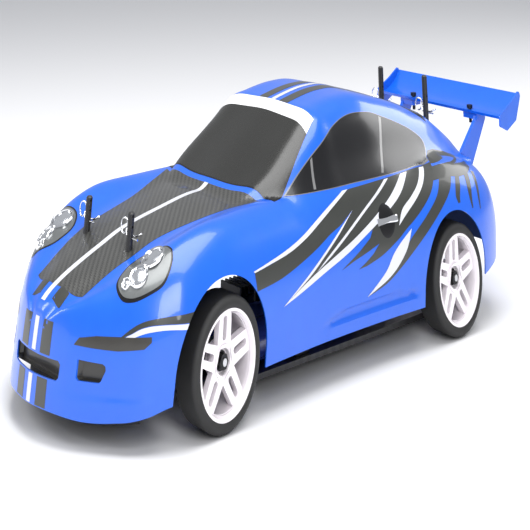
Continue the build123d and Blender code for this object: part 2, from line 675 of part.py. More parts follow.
# The link plate's stem ends in a hinge barrel, which turns between two lugs on the chassis.
BARREL_RADIUS = 3.2
LUG_GAP = 0.2
LUG_WIDTH = 3.4
BAR_Y = 92.0
with BuildPart() as t_plate:
    with BuildSketch(Plane.XY.offset(POD_FLOOR)):
        with Locations((0, (POD_PIVOT[0] + BAR_Y) / 2)):
            Rectangle(2 * STEM_HALF, BAR_Y - POD_PIVOT[0])
        with Locations((0, BAR_Y)):
            RectangleRounded(60, 14, 3)
    extrude(amount=1.5)
    with Locations((0, *POD_PIVOT)):
        Cylinder(BARREL_RADIUS, 2 * STEM_HALF, rotation=(0, 90, 0))
        Cylinder(PIVOT_PIN_RADIUS + RUNNING, 20, rotation=(0, 90, 0), mode=Mode.SUBTRACT)
save(t_plate.part, "t_plate")

lug_inner = STEM_HALF + LUG_GAP
lug_outer = lug_inner + LUG_WIDTH
bracket_front = BRACKET_SCREW_Y - 2.6
lug_back = POD_PIVOT[0] + BARREL_RADIUS
with BuildPart() as pod_pivot:
    with Locations((0, BRACKET_SCREW_Y, FLOOR + 3)):
        Box(2 * lug_outer, 5.2, 6)
    for start in (-lug_outer, lug_inner):
        with BuildSketch(along_x(start)):
            with Locations(((bracket_front + lug_back) / 2, (FLOOR + POD_PIVOT[1]) / 2)):
                Rectangle(lug_back - bracket_front, POD_PIVOT[1] - FLOOR)
            with Locations(POD_PIVOT):
                Circle(BARREL_RADIUS)
        extrude(amount=LUG_WIDTH)
    with Locations((0, *POD_PIVOT)):
        Cylinder(PIVOT_PIN_RADIUS + 0.01, 40, rotation=(0, 90, 0), mode=Mode.SUBTRACT)
    with Locations((0, BRACKET_SCREW_Y, FLOOR)):
        Cylinder(SCREW_RADIUS + 0.05, 9.4, mode=Mode.SUBTRACT)
save(pod_pivot.part, "pod_pivot")

with BuildPart() as pod_pivot_pin:
    with Locations((0, *POD_PIVOT)):
        Cylinder(PIVOT_PIN_RADIUS, 2 * lug_outer + 1, rotation=(0, 90, 0))
save(pod_pivot_pin.part, "pod_pivot_pin")

save(rod_along_x([(-AXLE_END, -87, THREAD_RADIUS), (-87, 87, AXLE_RADIUS), (87, AXLE_END, THREAD_RADIUS)],
                 REAR_AXLE, AXLE_HEIGHT), "rear_axle")

with BuildPart() as rear_hubs:
    for side in (-1, 1):
        with Locations((side * 73.6, REAR_AXLE, AXLE_HEIGHT)):
            Cylinder(6, 9, rotation=(0, 90, 0))
        with BuildSketch(along_x(side * 78)):
            with Locations((REAR_AXLE, AXLE_HEIGHT)):
                RegularPolygon(HEXAGON - 0.12, 6)
        extrude(amount=side * (WEB_FACE - 0.1 - 78))
        with Locations((side * 76, REAR_AXLE, AXLE_HEIGHT)):
            Cylinder(AXLE_RADIUS + 0.01, 40, rotation=(0, 90, 0), mode=Mode.SUBTRACT)
save(rear_hubs.part, "rear_hubs")


def gear_outline(teeth, backlash, first_gap):
    """Outline of a spur gear round its centre, with a tooth gap at the angle first_gap, in degrees."""
    pitch = MODULE * teeth / 2
    base = pitch * cos(radians(20))
    tip = pitch + MODULE * 0.95
    root = pitch - MODULE * 1.25
    unwind = tan(radians(20)) - radians(20)
    half_tooth = pi / (2 * teeth) - backlash / (2 * pitch)
    points = []
    for k in range(teeth):
        middle = radians(first_gap) + (k + 0.5) * 2 * pi / teeth
        flank = []
        for r in (max(base, root), pitch, tip):
            roll = sqrt(max((r / base) ** 2 - 1, 0))
            flank.append((r, half_tooth + unwind - (roll - atan2(roll, 1))))
        if root < base:
            flank.insert(0, (root, flank[0][1]))
        points += [(r * cos(middle - a), r * sin(middle - a)) for r, a in flank]
        points += [(r * cos(middle + a), r * sin(middle + a)) for r, a in flank[::-1]]
    return points


def spur_wheel(teeth, first_gap, centre, bore, hub):
    """A spur gear on an axle along X at centre (y, z), with a plain hub of radius hub on its inner side."""
    with BuildPart() as gear:
        with BuildSketch(along_x(GEAR_X)):
            with BuildLine():
                Polyline(*[(centre[0] + y, centre[1] + z) for y, z in gear_outline(teeth, 0.14, first_gap)],
                         close=True)
            make_face()
        extrude(amount=GEAR_WIDTH)
        with BuildSketch(along_x(GEAR_X + GEAR_WIDTH)):
            with Locations(centre):
                Circle(hub)
        extrude(amount=4)
        with Locations((GEAR_X, centre[0], centre[1])):
            Cylinder(bore, 40, rotation=(0, 90, 0), mode=Mode.SUBTRACT)
    return gear.part


with BuildPart() as spur_gear:
    add(spur_wheel(SPUR_TEETH, MOTOR_ANGLE, (REAR_AXLE, AXLE_HEIGHT), AXLE_RADIUS + 0.01, 7))
    with BuildSketch(along_x(GEAR_X)):
        with Locations((REAR_AXLE, AXLE_HEIGHT)):
            with PolarLocations(12.5, 6):
                Circle(3.4)
    extrude(amount=GEAR_WIDTH, mode=Mode.SUBTRACT)
save(spur_gear.part, "spur_gear")

pinion_gap = MOTOR_ANGLE + 180 + 180 / PINION_TEETH
save(spur_wheel(PINION_TEETH, pinion_gap, (MOTOR_Y, MOTOR_Z), 1.61, 4.4), "pinion_gear")
save(rod_along_x([(-67, -40, 1.6)], MOTOR_Y, MOTOR_Z), "motor_shaft")

MOTOR_LENGTH = 50.0
with BuildPart() as motor:
    with Locations((-POD_HALF + POD_SIDE + MOTOR_LENGTH / 2, MOTOR_Y, MOTOR_Z)):
        Cylinder(MOTOR_RADIUS, MOTOR_LENGTH, rotation=(0, 90, 0))
    fillet(motor.edges(), 2)
    with Locations((6.5, MOTOR_Y, MOTOR_Z)):
        Cylinder(6, 5, rotation=(0, 90, 0))
    for dy in (-9, 9):  # brush terminals
        with Locations((5.5, MOTOR_Y + dy, MOTOR_Z + 6)):
            Box(4, 1.2, 4)
    with Locations((-42, MOTOR_Y, MOTOR_Z)):
        Cylinder(1.6 + RUNNING, 12, rotation=(0, 90, 0), mode=Mode.SUBTRACT)
save(motor.part, "motor")

# ---- Rear damper ----
SPRING_FRONT_Y = 29.4
SPRING_REAR_Y = 79.4


def rod_along_y(parts):
    """Round lengths along the damper's axis, given as (start, end, radius)."""
    with BuildPart() as rod:
        for start, end, radius in parts:
            with Locations((0, (start + end) / 2, DAMPER_Z)):
                Cylinder(radius, end - start, rotation=(90, 0, 0))
    return rod.part


with BuildPart() as damper_post:
    with Locations((0, DAMPER_FRONT_Y, (FLOOR + 51) / 2)):
        Box(9, 7, 51 - FLOOR)
    with Locations((0, DAMPER_FRONT_Y, FLOOR + 2)):
        Box(14, 14, 4)
    with Locations((0, DAMPER_FRONT_Y, FLOOR)):
        Cylinder(SCREW_RADIUS + 0.05, 9.4, mode=Mode.SUBTRACT)
    for side in (-1, 1):
        with BuildSketch(along_x(side * 3.4 - 0.9)):
            with Locations((DAMPER_FRONT_Y, DAMPER_Z)):
                Circle(3)
            with Locations((DAMPER_FRONT_Y, DAMPER_Z - 3)):
                Rectangle(6, 6)
        extrude(amount=1.8)
    with Locations((0, DAMPER_FRONT_Y, DAMPER_Z)):
        Cylinder(DAMPER_PIN, 10, rotation=(0, 90, 0))
save(damper_post.part, "damper_post")

with BuildPart() as damper_body:
    add(rod_along_y([(24, 27, 1.9), (26.4, 54, 5), (SPRING_FRONT_Y - 2, SPRING_FRONT_Y - 0.1, 6.8)]))
    with Locations((0, DAMPER_FRONT_Y, DAMPER_Z)):
        Cylinder(3.2, 4, rotation=(0, 90, 0))
        Cylinder(DAMPER_PIN + RUNNING, 10, rotation=(0, 90, 0), mode=Mode.SUBTRACT)
    with Locations((0, 47, DAMPER_Z)):
        Cylinder(1.6, 26, rotation=(90, 0, 0), mode=Mode.SUBTRACT)
save(damper_body.part, "damper_body")

with BuildPart() as damper_rod:
    add(rod_along_y([(40, 90, 1.5), (SPRING_REAR_Y + 0.1, SPRING_REAR_Y + 2, 6.8), (81, 90, 1.9)]))
    with Locations((0, DAMPER_REAR_Y, DAMPER_Z)):
        Cylinder(3.2, 4, rotation=(0, 90, 0))
        Cylinder(DAMPER_PIN + 0.25, 10, rotation=(0, 90, 0), mode=Mode.SUBTRACT)
save(damper_rod.part, "damper_rod")

damper_spring_plane = Plane(origin=(0, SPRING_FRONT_Y, DAMPER_Z), z_dir=(0, 1, 0))
save(coil_spring(damper_spring_plane, SPRING_REAR_Y - SPRING_FRONT_Y, 8, 6.0, 0.55), "damper_spring")

# ---- Electrics ----
BATTERY_X = 31.5
CELL_RADIUS = 11.6
BATTERY_Y = (-88.0, 49.0)

CELL_Z = FLOOR + 0.2 + CELL_RADIUS
with BuildPart() as battery_pack:
    with BuildSketch(along_y(BATTERY_Y[0])):
        with Locations((-BATTERY_X - 11, CELL_Z), (-BATTERY_X + 11, CELL_Z)):
            Circle(CELL_RADIUS)
        with Locations((-BATTERY_X, CELL_Z)):
            Rectangle(22, 2 * CELL_RADIUS - 0.6)
    extrude(amount=BATTERY_Y[1] - BATTERY_Y[0])
save(battery_pack.part, "battery_pack")

with BuildPart() as battery_strap:
    with BuildSketch(along_y(-26)):
        with Locations((-BATTERY_X, 21.4)):
            RectangleRounded(51.6, 29, 4)
            RectangleRounded(47.4, 25.2, 2.5, mode=Mode.SUBTRACT)
        with Locations((-BATTERY_X, FLOOR / 2)):
            Rectangle(140, FLOOR, mode=Mode.SUBTRACT)
    extrude(amount=14)
save(battery_strap.part, "battery_strap")

with BuildPart() as speed_controller:
    with Locations((-33, -4, FLOOR + 8)):
        Box(30, 38, 16)
    fillet(speed_controller.edges().filter_by(Axis.Z), 2)
    with Locations(*[(-33, -18 + 4.6 * k, FLOOR + 18.4) for k in range(7)]):
        Box(26, 1.6, 5)
save(speed_controller.part, "speed_controller")

with BuildPart() as radio_receiver:
    with Locations((-38, -62, FLOOR + 6.5)):
        Box(24, 34, 13)
    fillet(radio_receiver.edges(), 1.2)
save(radio_receiver.part, "radio_receiver")


def lead(points, radius):
    """One insulated wire swept along a smooth path."""
    with BuildPart() as wire:
        with BuildLine():
            path = Spline(*points)
        with BuildSketch(Plane(origin=path @ 0, z_dir=path % 0)):
            Circle(radius)
        sweep()
    return wire.part


WIRE_RADIUS = 1.2
with BuildPart() as battery_leads:
    for rise in (0, 2.8):
        add(lead([(-25, -23.4, 16 + rise), (-23, -34, 15 + rise), (-13, -60, 13 + rise),
                  (-4, -82, 13 + rise), (6, -94, 14 + rise), (15, -94, 15.5 + rise),
                  (19, -88.4, 16.5 + rise)], WIRE_RADIUS))
save(battery_leads.part, "battery_leads")

with BuildPart() as motor_leads:
    for shift, end_y in ((0, MOTOR_Y - 9), (3.4, MOTOR_Y + 9)):
        add(lead([(-24 - shift, 15.3, 20), (-22 - shift, 26, 22), (-12, 54, 30 + shift),
                  (1, 76, 36 + shift), (12 + shift, 90, 38 + shift), (13.5 + shift / 2, end_y, 36.4),
                  (7.8, end_y, 36.4)], WIRE_RADIUS))
save(motor_leads.part, "motor_leads")
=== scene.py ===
from math import cos, pi, radians, sin

import bmesh
import bpy
import numpy as np
from mathutils import Matrix, Vector
from mathutils.bvhtree import BVHTree
from mathutils.geometry import delaunay_2d_cdt


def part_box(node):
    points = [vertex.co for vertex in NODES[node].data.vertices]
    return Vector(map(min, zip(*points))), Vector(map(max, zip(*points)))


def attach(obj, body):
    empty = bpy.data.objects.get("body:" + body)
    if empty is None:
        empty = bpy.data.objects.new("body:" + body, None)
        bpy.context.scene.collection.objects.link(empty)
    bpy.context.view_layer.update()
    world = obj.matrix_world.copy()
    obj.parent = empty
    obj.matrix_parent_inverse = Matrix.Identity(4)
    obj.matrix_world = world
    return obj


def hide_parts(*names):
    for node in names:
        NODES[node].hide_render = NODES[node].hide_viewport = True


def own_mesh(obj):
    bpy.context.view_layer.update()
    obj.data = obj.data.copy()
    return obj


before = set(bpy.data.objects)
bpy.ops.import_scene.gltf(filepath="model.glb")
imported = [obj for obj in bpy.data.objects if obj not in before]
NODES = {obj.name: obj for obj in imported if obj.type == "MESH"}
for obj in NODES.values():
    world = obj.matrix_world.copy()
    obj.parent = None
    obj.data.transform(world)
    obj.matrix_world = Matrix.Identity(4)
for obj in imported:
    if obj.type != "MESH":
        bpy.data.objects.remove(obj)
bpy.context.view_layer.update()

MM = 0.001

# Places in millimetres, with y measured from the middle of the wheelbase. The frame's origin is midway along
# the car, so every piece but the springs is moved there by move_to_frame().
NOSE = -234.2
TAIL = 214.0
MIDDLE_OF_CAR = 10.1
ARCHES = ((-133.0, 32.0, 42.0), (127.0, 32.0, 40.0))
POSTS = [(side * x, y) for x, y in ((29.0, -176.0), (29.5, 172.0)) for side in (-1, 1)]
CLIP_HEIGHTS = {-176.0: 88.5, 172.0: 119.5}


# ---- Materials ----
def new_material(name):
    """An empty node material with its Principled node and its tree."""
    material = bpy.data.materials.new(name)
    material.use_nodes = True
    tree = material.node_tree
    return material, tree, tree.nodes["Principled BSDF"]


def add_node(tree, kind, **inputs):
    """A node of a kind, with its inputs set by name and its own settings by attribute."""
    node = tree.nodes.new(kind)
    for key, value in inputs.items():
        if key in node.inputs:
            node.inputs[key].default_value = value
        else:
            setattr(node, key, value)
    return node


def object_coordinates(tree, scale=(1, 1, 1)):
    """Object coordinates, stretched."""
    coordinates = tree.nodes.new("ShaderNodeTexCoord")
    mapping = add_node(tree, "ShaderNodeMapping", Scale=scale)
    tree.links.new(coordinates.outputs["Object"], mapping.inputs["Vector"])
    return mapping.outputs["Vector"]


def math_node(tree, operation, a, b=0.0, c=0.0):
    """The value of a math operation on sockets or numbers."""
    node = tree.nodes.new("ShaderNodeMath")
    node.operation = operation
    for slot_number, value in enumerate((a, b, c)):
        if isinstance(value, (int, float)):
            node.inputs[slot_number].default_value = value
        else:
            tree.links.new(value, node.inputs[slot_number])
    return node.outputs[0]


def mix_colours(tree, share, a, b):
    """A colour between a and b."""
    node = tree.nodes.new("ShaderNodeMix")
    node.data_type = "RGBA"
    for socket, value in ((node.inputs[0], share), (node.inputs[6], a), (node.inputs[7], b)):
        if isinstance(value, bpy.types.NodeSocket):
            tree.links.new(value, socket)
        elif isinstance(value, tuple):
            socket.default_value = (*value, 1)
        else:
            socket.default_value = value
    return node.outputs[2]


def surface(name, colour, roughness, metallic=0.0, coat=0.0, grain=2500, bump=0.05, variation=0.12,
            stretch=(1, 1, 1)):
    """A material with grain in its colour, roughness and relief. grain is the noise's scale per metre."""
    material, tree, shader = new_material(name)
    vector = object_coordinates(tree, stretch)
    fine = add_node(tree, "ShaderNodeTexNoise", Scale=grain, Detail=4.0, Roughness=0.6)
    broad = add_node(tree, "ShaderNodeTexNoise", Scale=grain / 45, Detail=3.0)
    for texture in (fine, broad):
        tree.links.new(vector, texture.inputs["Vector"])
    darker = tuple(c * (1 - variation) for c in colour)
    lighter = tuple(min(1.0, c * (1 + variation)) for c in colour)
    tree.links.new(mix_colours(tree, broad.outputs["Fac"], darker, lighter), shader.inputs["Base Color"])
    rough = math_node(tree, "MULTIPLY_ADD", fine.outputs["Fac"], roughness * 0.5, roughness * 0.75)
    tree.links.new(rough, shader.inputs["Roughness"])
    shader.inputs["Metallic"].default_value = metallic
    shader.inputs["Coat Weight"].default_value = coat
    shader.inputs["Coat Roughness"].default_value = 0.04
    relief = add_node(tree, "ShaderNodeBump", Strength=bump, Distance=0.0003)
    tree.links.new(fine.outputs["Fac"], relief.inputs["Height"])
    tree.links.new(relief.outputs["Normal"], shader.inputs["Normal"])
    return material


def weave(name, dark, light, cell, roughness, coat):
    """A twill weave of dark and light tows, cell metres wide, with a painted highlight along each tow's
    crown, under a clear coat.
    """
    material, tree, shader = new_material(name)
    split = tree.nodes.new("ShaderNodeSeparateXYZ")
    tree.links.new(object_coordinates(tree), split.inputs[0])
    across = math_node(tree, "DIVIDE", math_node(tree, "ADD", split.outputs[0], 10.0), cell)
    along = math_node(tree, "DIVIDE", math_node(tree, "ADD", split.outputs[1], 10.0), cell)
    column = math_node(tree, "FLOOR", across)
    row = math_node(tree, "FLOOR", along)
    step = math_node(tree, "MODULO", math_node(tree, "ADD", column, row), 4.0)
    over = math_node(tree, "LESS_THAN", step, 1.5)
    across_tow = math_node(tree, "SINE", math_node(tree, "MULTIPLY", across, 2 * pi))
    along_tow = math_node(tree, "SINE", math_node(tree, "MULTIPLY", along, 2 * pi))
    tow = tree.nodes.new("ShaderNodeMix")
    for socket, value in ((0, over), (2, along_tow), (3, across_tow)):
        tree.links.new(value, tow.inputs[socket])
    noise = add_node(tree, "ShaderNodeTexNoise", Scale=90.0, Detail=3.0)
    level = math_node(tree, "MULTIPLY_ADD", over, 0.4, 0.3)
    # Painted highlight: the tow's rounded profile, the same one that drives the bump, lightens each tow
    # along its crown.
    tone = math_node(tree, "MULTIPLY_ADD", tow.outputs[0], 0.22, level)
    tone = math_node(tree, "SUBTRACT", tone, 0.12)
    tone = math_node(tree, "MULTIPLY_ADD", noise.outputs["Fac"], 0.25, tone)
    tree.links.new(mix_colours(tree, tone, dark, light), shader.inputs["Base Color"])
    relief = add_node(tree, "ShaderNodeBump", Strength=0.12, Distance=0.0002)
    tree.links.new(tow.outputs[0], relief.inputs["Height"])
    tree.links.new(relief.outputs["Normal"], shader.inputs["Normal"])
    shader.inputs["Roughness"].default_value = roughness
    shader.inputs["Coat Weight"].default_value = coat
    shader.inputs["Coat Roughness"].default_value = 0.05
    return material


BLUE = (0.003, 0.105, 0.64)
PAINT = surface("blue_paint", BLUE, 0.30, coat=0.45, grain=5000, bump=0.01, variation=0.07)
PAINT_INSIDE = surface("shell_inside", (0.03, 0.07, 0.25), 0.55, grain=900, bump=0.05)
WING_PAINT = surface("wing_paint", (0.003, 0.105, 0.62), 0.30, coat=0.45, grain=4000, bump=0.02)
STRIPE_DARK = surface("stripe_grey", (0.030, 0.032, 0.028), 0.34, coat=0.35, grain=4000, bump=0.02)
STRIPE_WHITE = surface("stripe_white", (0.62, 0.63, 0.68), 0.3, coat=0.5, grain=4000, bump=0.02,
                       variation=0.04)
BANNER = surface("banner_white", (0.80, 0.80, 0.80), 0.35, coat=0.6, grain=4000, bump=0.02, variation=0.02)
SCREEN = surface("tinted_screen", (0.016, 0.016, 0.014), 0.26, coat=0.12, grain=700, bump=0.005,
                 variation=0.25)
WINDOW = surface("dark_window", (0.004, 0.004, 0.005), 0.24, coat=0.1, grain=700, bump=0.005, variation=0.3)
LINE = surface("window_line", (0.16, 0.16, 0.16), 0.3, coat=0.6, grain=3000)
BONNET = weave("bonnet_weave", (0.014, 0.014, 0.013), (0.075, 0.075, 0.070), 0.0013, 0.36, 0.35)
PLATE = weave("plate_weave", (0.010, 0.010, 0.011), (0.045, 0.045, 0.048), 0.0022, 0.38, 0.5)
LAMP_FIELD = surface("lamp_field", (0.16, 0.17, 0.17), 0.3, metallic=0.5, coat=0.6, grain=900,
                     stretch=(1, 6, 1))
CHROME = surface("chrome", (0.82, 0.83, 0.85), 0.07, metallic=1.0, grain=1500, bump=0.02, variation=0.04)
LENS = surface("lamp_lens", (0.55, 0.57, 0.60), 0.05, metallic=0.8, coat=1.0, grain=1200, bump=0.3)
TAIL_RED = surface("tail_lamp_red", (0.42, 0.010, 0.008), 0.18, coat=1.0, grain=900, bump=0.05)
GRILLE = surface("grille_dark", (0.030, 0.028, 0.024), 0.35, coat=0.4, grain=1500, bump=0.1)
RIM = surface("rim_white", (0.80, 0.755, 0.79), 0.25, coat=0.7, grain=2600, bump=0.03, variation=0.05)
RUBBER = surface("tyre_rubber", (0.012, 0.012, 0.012), 0.62, grain=3800, bump=0.25, variation=0.3)
BLACK = surface("black_plastic", (0.014, 0.014, 0.015), 0.42, grain=4200, bump=0.18, variation=0.25)
GREY = surface("grey_plastic", (0.13, 0.13, 0.14), 0.5, grain=4200, bump=0.15)
NYLON = surface("nylon", (0.62, 0.60, 0.53), 0.45, grain=2600, bump=0.08)
STEEL = surface("steel", (0.56, 0.56, 0.57), 0.28, metallic=1.0, grain=1800, bump=0.06, stretch=(1, 1, 8))
DARK_STEEL = surface("dark_steel", (0.035, 0.035, 0.037), 0.35, metallic=0.9, grain=1800, bump=0.08)
ALUMINIUM = surface("aluminium", (0.74, 0.75, 0.77), 0.33, metallic=1.0, grain=1600, bump=0.06,
                    stretch=(8, 1, 1))
CAN = surface("motor_can", (0.42, 0.43, 0.45), 0.3, metallic=1.0, grain=1500, bump=0.05, stretch=(1, 9, 9))
FOAM = surface("foam", (0.028, 0.028, 0.030), 0.9, grain=1300, bump=0.7, variation=0.4)
WRAP = surface("battery_wrap", (0.02, 0.035, 0.20), 0.25, coat=0.8, grain=500, bump=0.15, variation=0.2)
RED_WIRE = surface("silicone_wire", (0.35, 0.012, 0.010), 0.5, grain=2500, bump=0.1)

NODE_MATERIALS = {
    "rear_wing": WING_PAINT, "wing_struts": WING_PAINT, "wing_screws": DARK_STEEL,
    "front_body_posts": BLACK, "rear_body_posts": BLACK,
    "chassis_plate": PLATE, "chassis_screws": DARK_STEEL, "front_bumper": FOAM,
    "front_arm": BLACK, "kingpins": STEEL, "front_spring": CHROME, "spring_seat": NYLON,
    "steering_knuckle": BLACK, "front_axle": STEEL, "front_nut": DARK_STEEL, "rear_nuts": DARK_STEEL,
    "rim": RIM, "tyre": RUBBER, "rear_axle": STEEL, "rear_hubs": ALUMINIUM, "spur_gear": NYLON,
    "pinion_gear": STEEL, "motor_shaft": STEEL, "motor": CAN, "pod_plate": PLATE, "pod_side": ALUMINIUM,
    "pod_top_plate": PLATE, "t_plate": GREY, "pod_pivot": STEEL, "rear_bearings": STEEL,
    "damper_post": BLACK, "damper_body": ALUMINIUM, "damper_rod": STEEL, "damper_spring": CHROME,
    "steering_servo": BLACK,
    "servo_horn": NYLON, "tie_rod": BLACK, "battery_pack": WRAP, "battery_strap": BLACK,
    "speed_controller": GREY, "radio_receiver": GREY, "battery_leads": RED_WIRE, "motor_leads": RED_WIRE,
}


def paint_nodes():
    """Gives each CAD node its material, by the longest name in the table that its name starts with."""
    for name, node in NODES.items():
        matches = [key for key in NODE_MATERIALS if name.startswith(key)]
        if matches:
            node.data.materials.clear()
            node.data.materials.append(NODE_MATERIALS[max(matches, key=len)])


# ---- Mesh helpers ----
PIECES = []


def mesh_object(name, vertices, faces, material, body):
    """A mesh object from vertices in metres, that rides on a body."""
    mesh = bpy.data.meshes.new(name)
    mesh.from_pydata([tuple(v) for v in vertices], [], [tuple(f) for f in faces])
    mesh.materials.append(material)
    mesh.update()
    piece = bpy.data.objects.new(name, mesh)
    bpy.context.scene.collection.objects.link(piece)
    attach(piece, body)
    PIECES.append(piece)
    return piece


def apply_modifiers(piece):
    """Replaces the mesh of a piece with the result of its modifiers."""
    graph = bpy.context.evaluated_depsgraph_get()
    graph.update()
    result = bpy.data.meshes.new_from_object(piece.evaluated_get(graph), depsgraph=graph)
    piece.modifiers.clear()
    piece.data = result


def outward(piece):
    """Turns the faces of a piece outwards and merges doubled points."""
    work = bmesh.new()
    work.from_mesh(piece.data)
    bmesh.ops.remove_doubles(work, verts=work.verts, dist=1e-6)
    bmesh.ops.recalc_face_normals(work, faces=work.faces)
    work.to_mesh(piece.data)
    work.free()


def smooth_shading(piece, angle=32):
    """Shades a piece smoothly, with sharp edges above an angle in degrees."""
    piece.data.shade_smooth()
    piece.data.set_sharp_from_angle(angle=radians(angle))


def cutter_from(name, outline, place, depth):
    """A prism for cutting: outline's 2-D points, turned to 3-D by place(u, v, w), for w from 0 to depth."""
    count = len(outline)
    vertices = [Vector(place(u, v, w)) * MM for w in (0, depth) for u, v in outline]
    faces = [[k, (k + 1) % count, count + (k + 1) % count, count + k] for k in range(count)]
    faces += [list(range(count))[::-1], list(range(count, 2 * count))]
    mesh = bpy.data.meshes.new(name)
    mesh.from_pydata(vertices, [], faces)
    cutter = bpy.data.objects.new(name, mesh)
    bpy.context.scene.collection.objects.link(cutter)
    outward(cutter)
    return cutter


def cut(piece, cutters):
    """Cuts closed shapes out of a piece."""
    for cutter in cutters:
        boolean = piece.modifiers.new("cut", "BOOLEAN")
        boolean.operation = "DIFFERENCE"
        boolean.solver = "EXACT"
        boolean.object = cutter
    apply_modifiers(piece)


def arc_points(centre, radius, count, start=0.0, end=2 * pi):
    """Points round an arc; a whole circle doesn't repeat its first point."""
    whole = abs(end - start - 2 * pi) < 1e-9
    steps = count if whole else count - 1
    return [(centre[0] + radius * cos(start + (end - start) * k / steps),
             centre[1] + radius * sin(start + (end - start) * k / steps)) for k in range(count)]


def curved(points, per_span=6):
    """A smooth open line through points, by Catmull-Rom spans."""
    ends = [points[0]] + list(points) + [points[-1]]
    line = []
    for k in range(1, len(ends) - 2):
        p = [np.array(q, float) for q in ends[k - 1:k + 3]]
        for step in range(per_span):
            t = step / per_span
            line.append(tuple(0.5 * (2 * p[1] + (p[2] - p[0]) * t
                                     + (2 * p[0] - 5 * p[1] + 4 * p[2] - p[3]) * t**2
                                     + (3 * p[1] - p[0] - 3 * p[2] + p[3]) * t**3)))
    return line + [tuple(points[-1])]


def blade(first_edge, second_edge):
    """A shape between two smooth edges that run the same way."""
    return curved(first_edge) + curved(second_edge)[::-1]


# ---- The body's skin, from the same section lines as the CAD shell ----
HALF_WIDTH = [(-234.2, 12), (-233, 19), (-231, 26), (-227.3, 36), (-220.8, 48), (-214, 58), (-207, 67),
              (-200, 76), (-191, 84), (-181, 90), (-168, 95.5), (-130, 98.5), (-85, 96), (-20, 93),
              (50, 94), (100, 98), (130, 99), (165, 97.5), (186, 91.5), (200, 83.5), (209, 73), (214, 60)]
HOOD = [(-234.2, 51), (-233.5, 57.3), (-228.4, 63), (-216.5, 69.2), (-201, 75), (-183, 80.8),
        (-162.6, 86.9), (-126.6, 92.8), (-90, 97), (0, 96), (100, 97), (150, 97), (180, 94), (200, 88),
        (210, 80), (214, 68)]
FENDER = [(-234.2, 50.5), (-233, 55), (-229, 60), (-219, 65), (-208, 70), (-195, 76), (-182, 82),
          (-170, 87.5), (-155, 93), (-135, 97), (-105, 98), (-60, 98.5), (60, 98.5), (125, 100), (150, 98),
          (175, 93.5), (195, 86), (207, 77), (214, 62)]
SILL = [(-234.2, 14.5), (-220, 13), (-205, 14), (-190, 16.5), (-175, 20), (-160, 21), (-95, 23), (85, 23),
        (150, 25), (168, 29), (190, 32), (214, 36)]
ROOF = [(-90, 92), (-82, 97.5), (-67, 106), (-47, 117.5), (-27, 129), (-6, 141), (7, 144), (25, 146.5),
        (38, 147.3), (53, 147), (73, 143.5), (111, 135), (130, 129.5), (155, 122), (169, 115.5),
        (186, 106.5), (197, 99.5), (206, 90), (211, 78)]
ROOF_EDGE = [(-90, 50), (-75, 62), (-56, 69), (-32, 64), (-15, 60), (0, 58.5), (45, 58.5), (80, 56),
             (118, 53), (140, 50), (166, 46), (204, 41), (211, 38)]
ROOF_DROP = [(-90, 2), (-75, 10), (-56, 15), (-32, 10.5), (-15, 7), (-5, 5), (10, 7), (43, 8.5), (150, 7),
             (200, 4), (211, 0.5)]
BELT = [(-90, 60), (-70, 74), (-55, 82), (-30, 84.5), (60, 84.5), (100, 81), (130, 76), (166, 66),
        (204, 54), (211, 50)]
BELT_HEIGHT = 88.0
CABIN = (-90.0, 211.0)
FILLET = 2.2
COLUMNS = 125
WALL = 1.1
GROOVE_DEPTH = 1.6
CHIN_FLARE = 0.018
DOME_DEPTH = 1.2


def curve(y, knots):
    """Value at station y of a smooth line through (y, value) knots, by cubic Hermite pieces."""
    if y <= knots[0][0]:
        return knots[0][1]
    for i in range(len(knots) - 1):
        (ya, va), (yb, vb) = knots[i], knots[i + 1]
        if y <= yb:
            yp, vp = knots[max(i - 1, 0)]
            yn, vn = knots[min(i + 2, len(knots) - 1)]
            h = yb - ya
            t = (y - ya) / h
            start = (2 * t**3 - 3 * t**2 + 1) * va + (t**3 - 2 * t**2 + t) * h * (vb - vp) / (yb - yp)
            end = (3 * t**2 - 2 * t**3) * vb + (t**3 - t**2) * h * (vn - va) / (yn - ya)
            return start + end
    return knots[-1][1]


def body_section(y):
    """Half of the lower body's outline at station y, from the centre line out and down to the sill."""
    w, hood, fender, sill = (curve(y, knots) for knots in (HALF_WIDTH, HOOD, FENDER, SILL))
    side = fender - sill
    shoulder = min(hood, fender) - 1.0 + 0.15 * abs(hood - fender)
    return [(0.0, hood), (0.30 * w, hood - 0.8), (0.53 * w, shoulder), (0.74 * w, fender),
            (0.90 * w, fender - 0.13 * side), (0.985 * w, fender - 0.38 * side), (w, sill + 0.30 * side),
            (0.975 * w, sill)]


def cabin_section(y):
    """Half of the cabin's outline at station y, from the roof's centre line down to below the belt line."""
    roof, edge, drop, belt = (curve(y, knots) for knots in (ROOF, ROOF_EDGE, ROOF_DROP, BELT))
    base = min(BELT_HEIGHT, roof - 3)
    rise = roof - drop - base
    return [(0.0, roof), (0.55 * edge, roof - 0.1 * drop), (0.88 * edge, roof - 0.4 * drop),
            (edge, roof - drop), (edge + 0.54 * (belt - edge), base + 0.5 * rise),
            (belt, base + 0.06 * rise), (belt + 1.5, 74.0)]


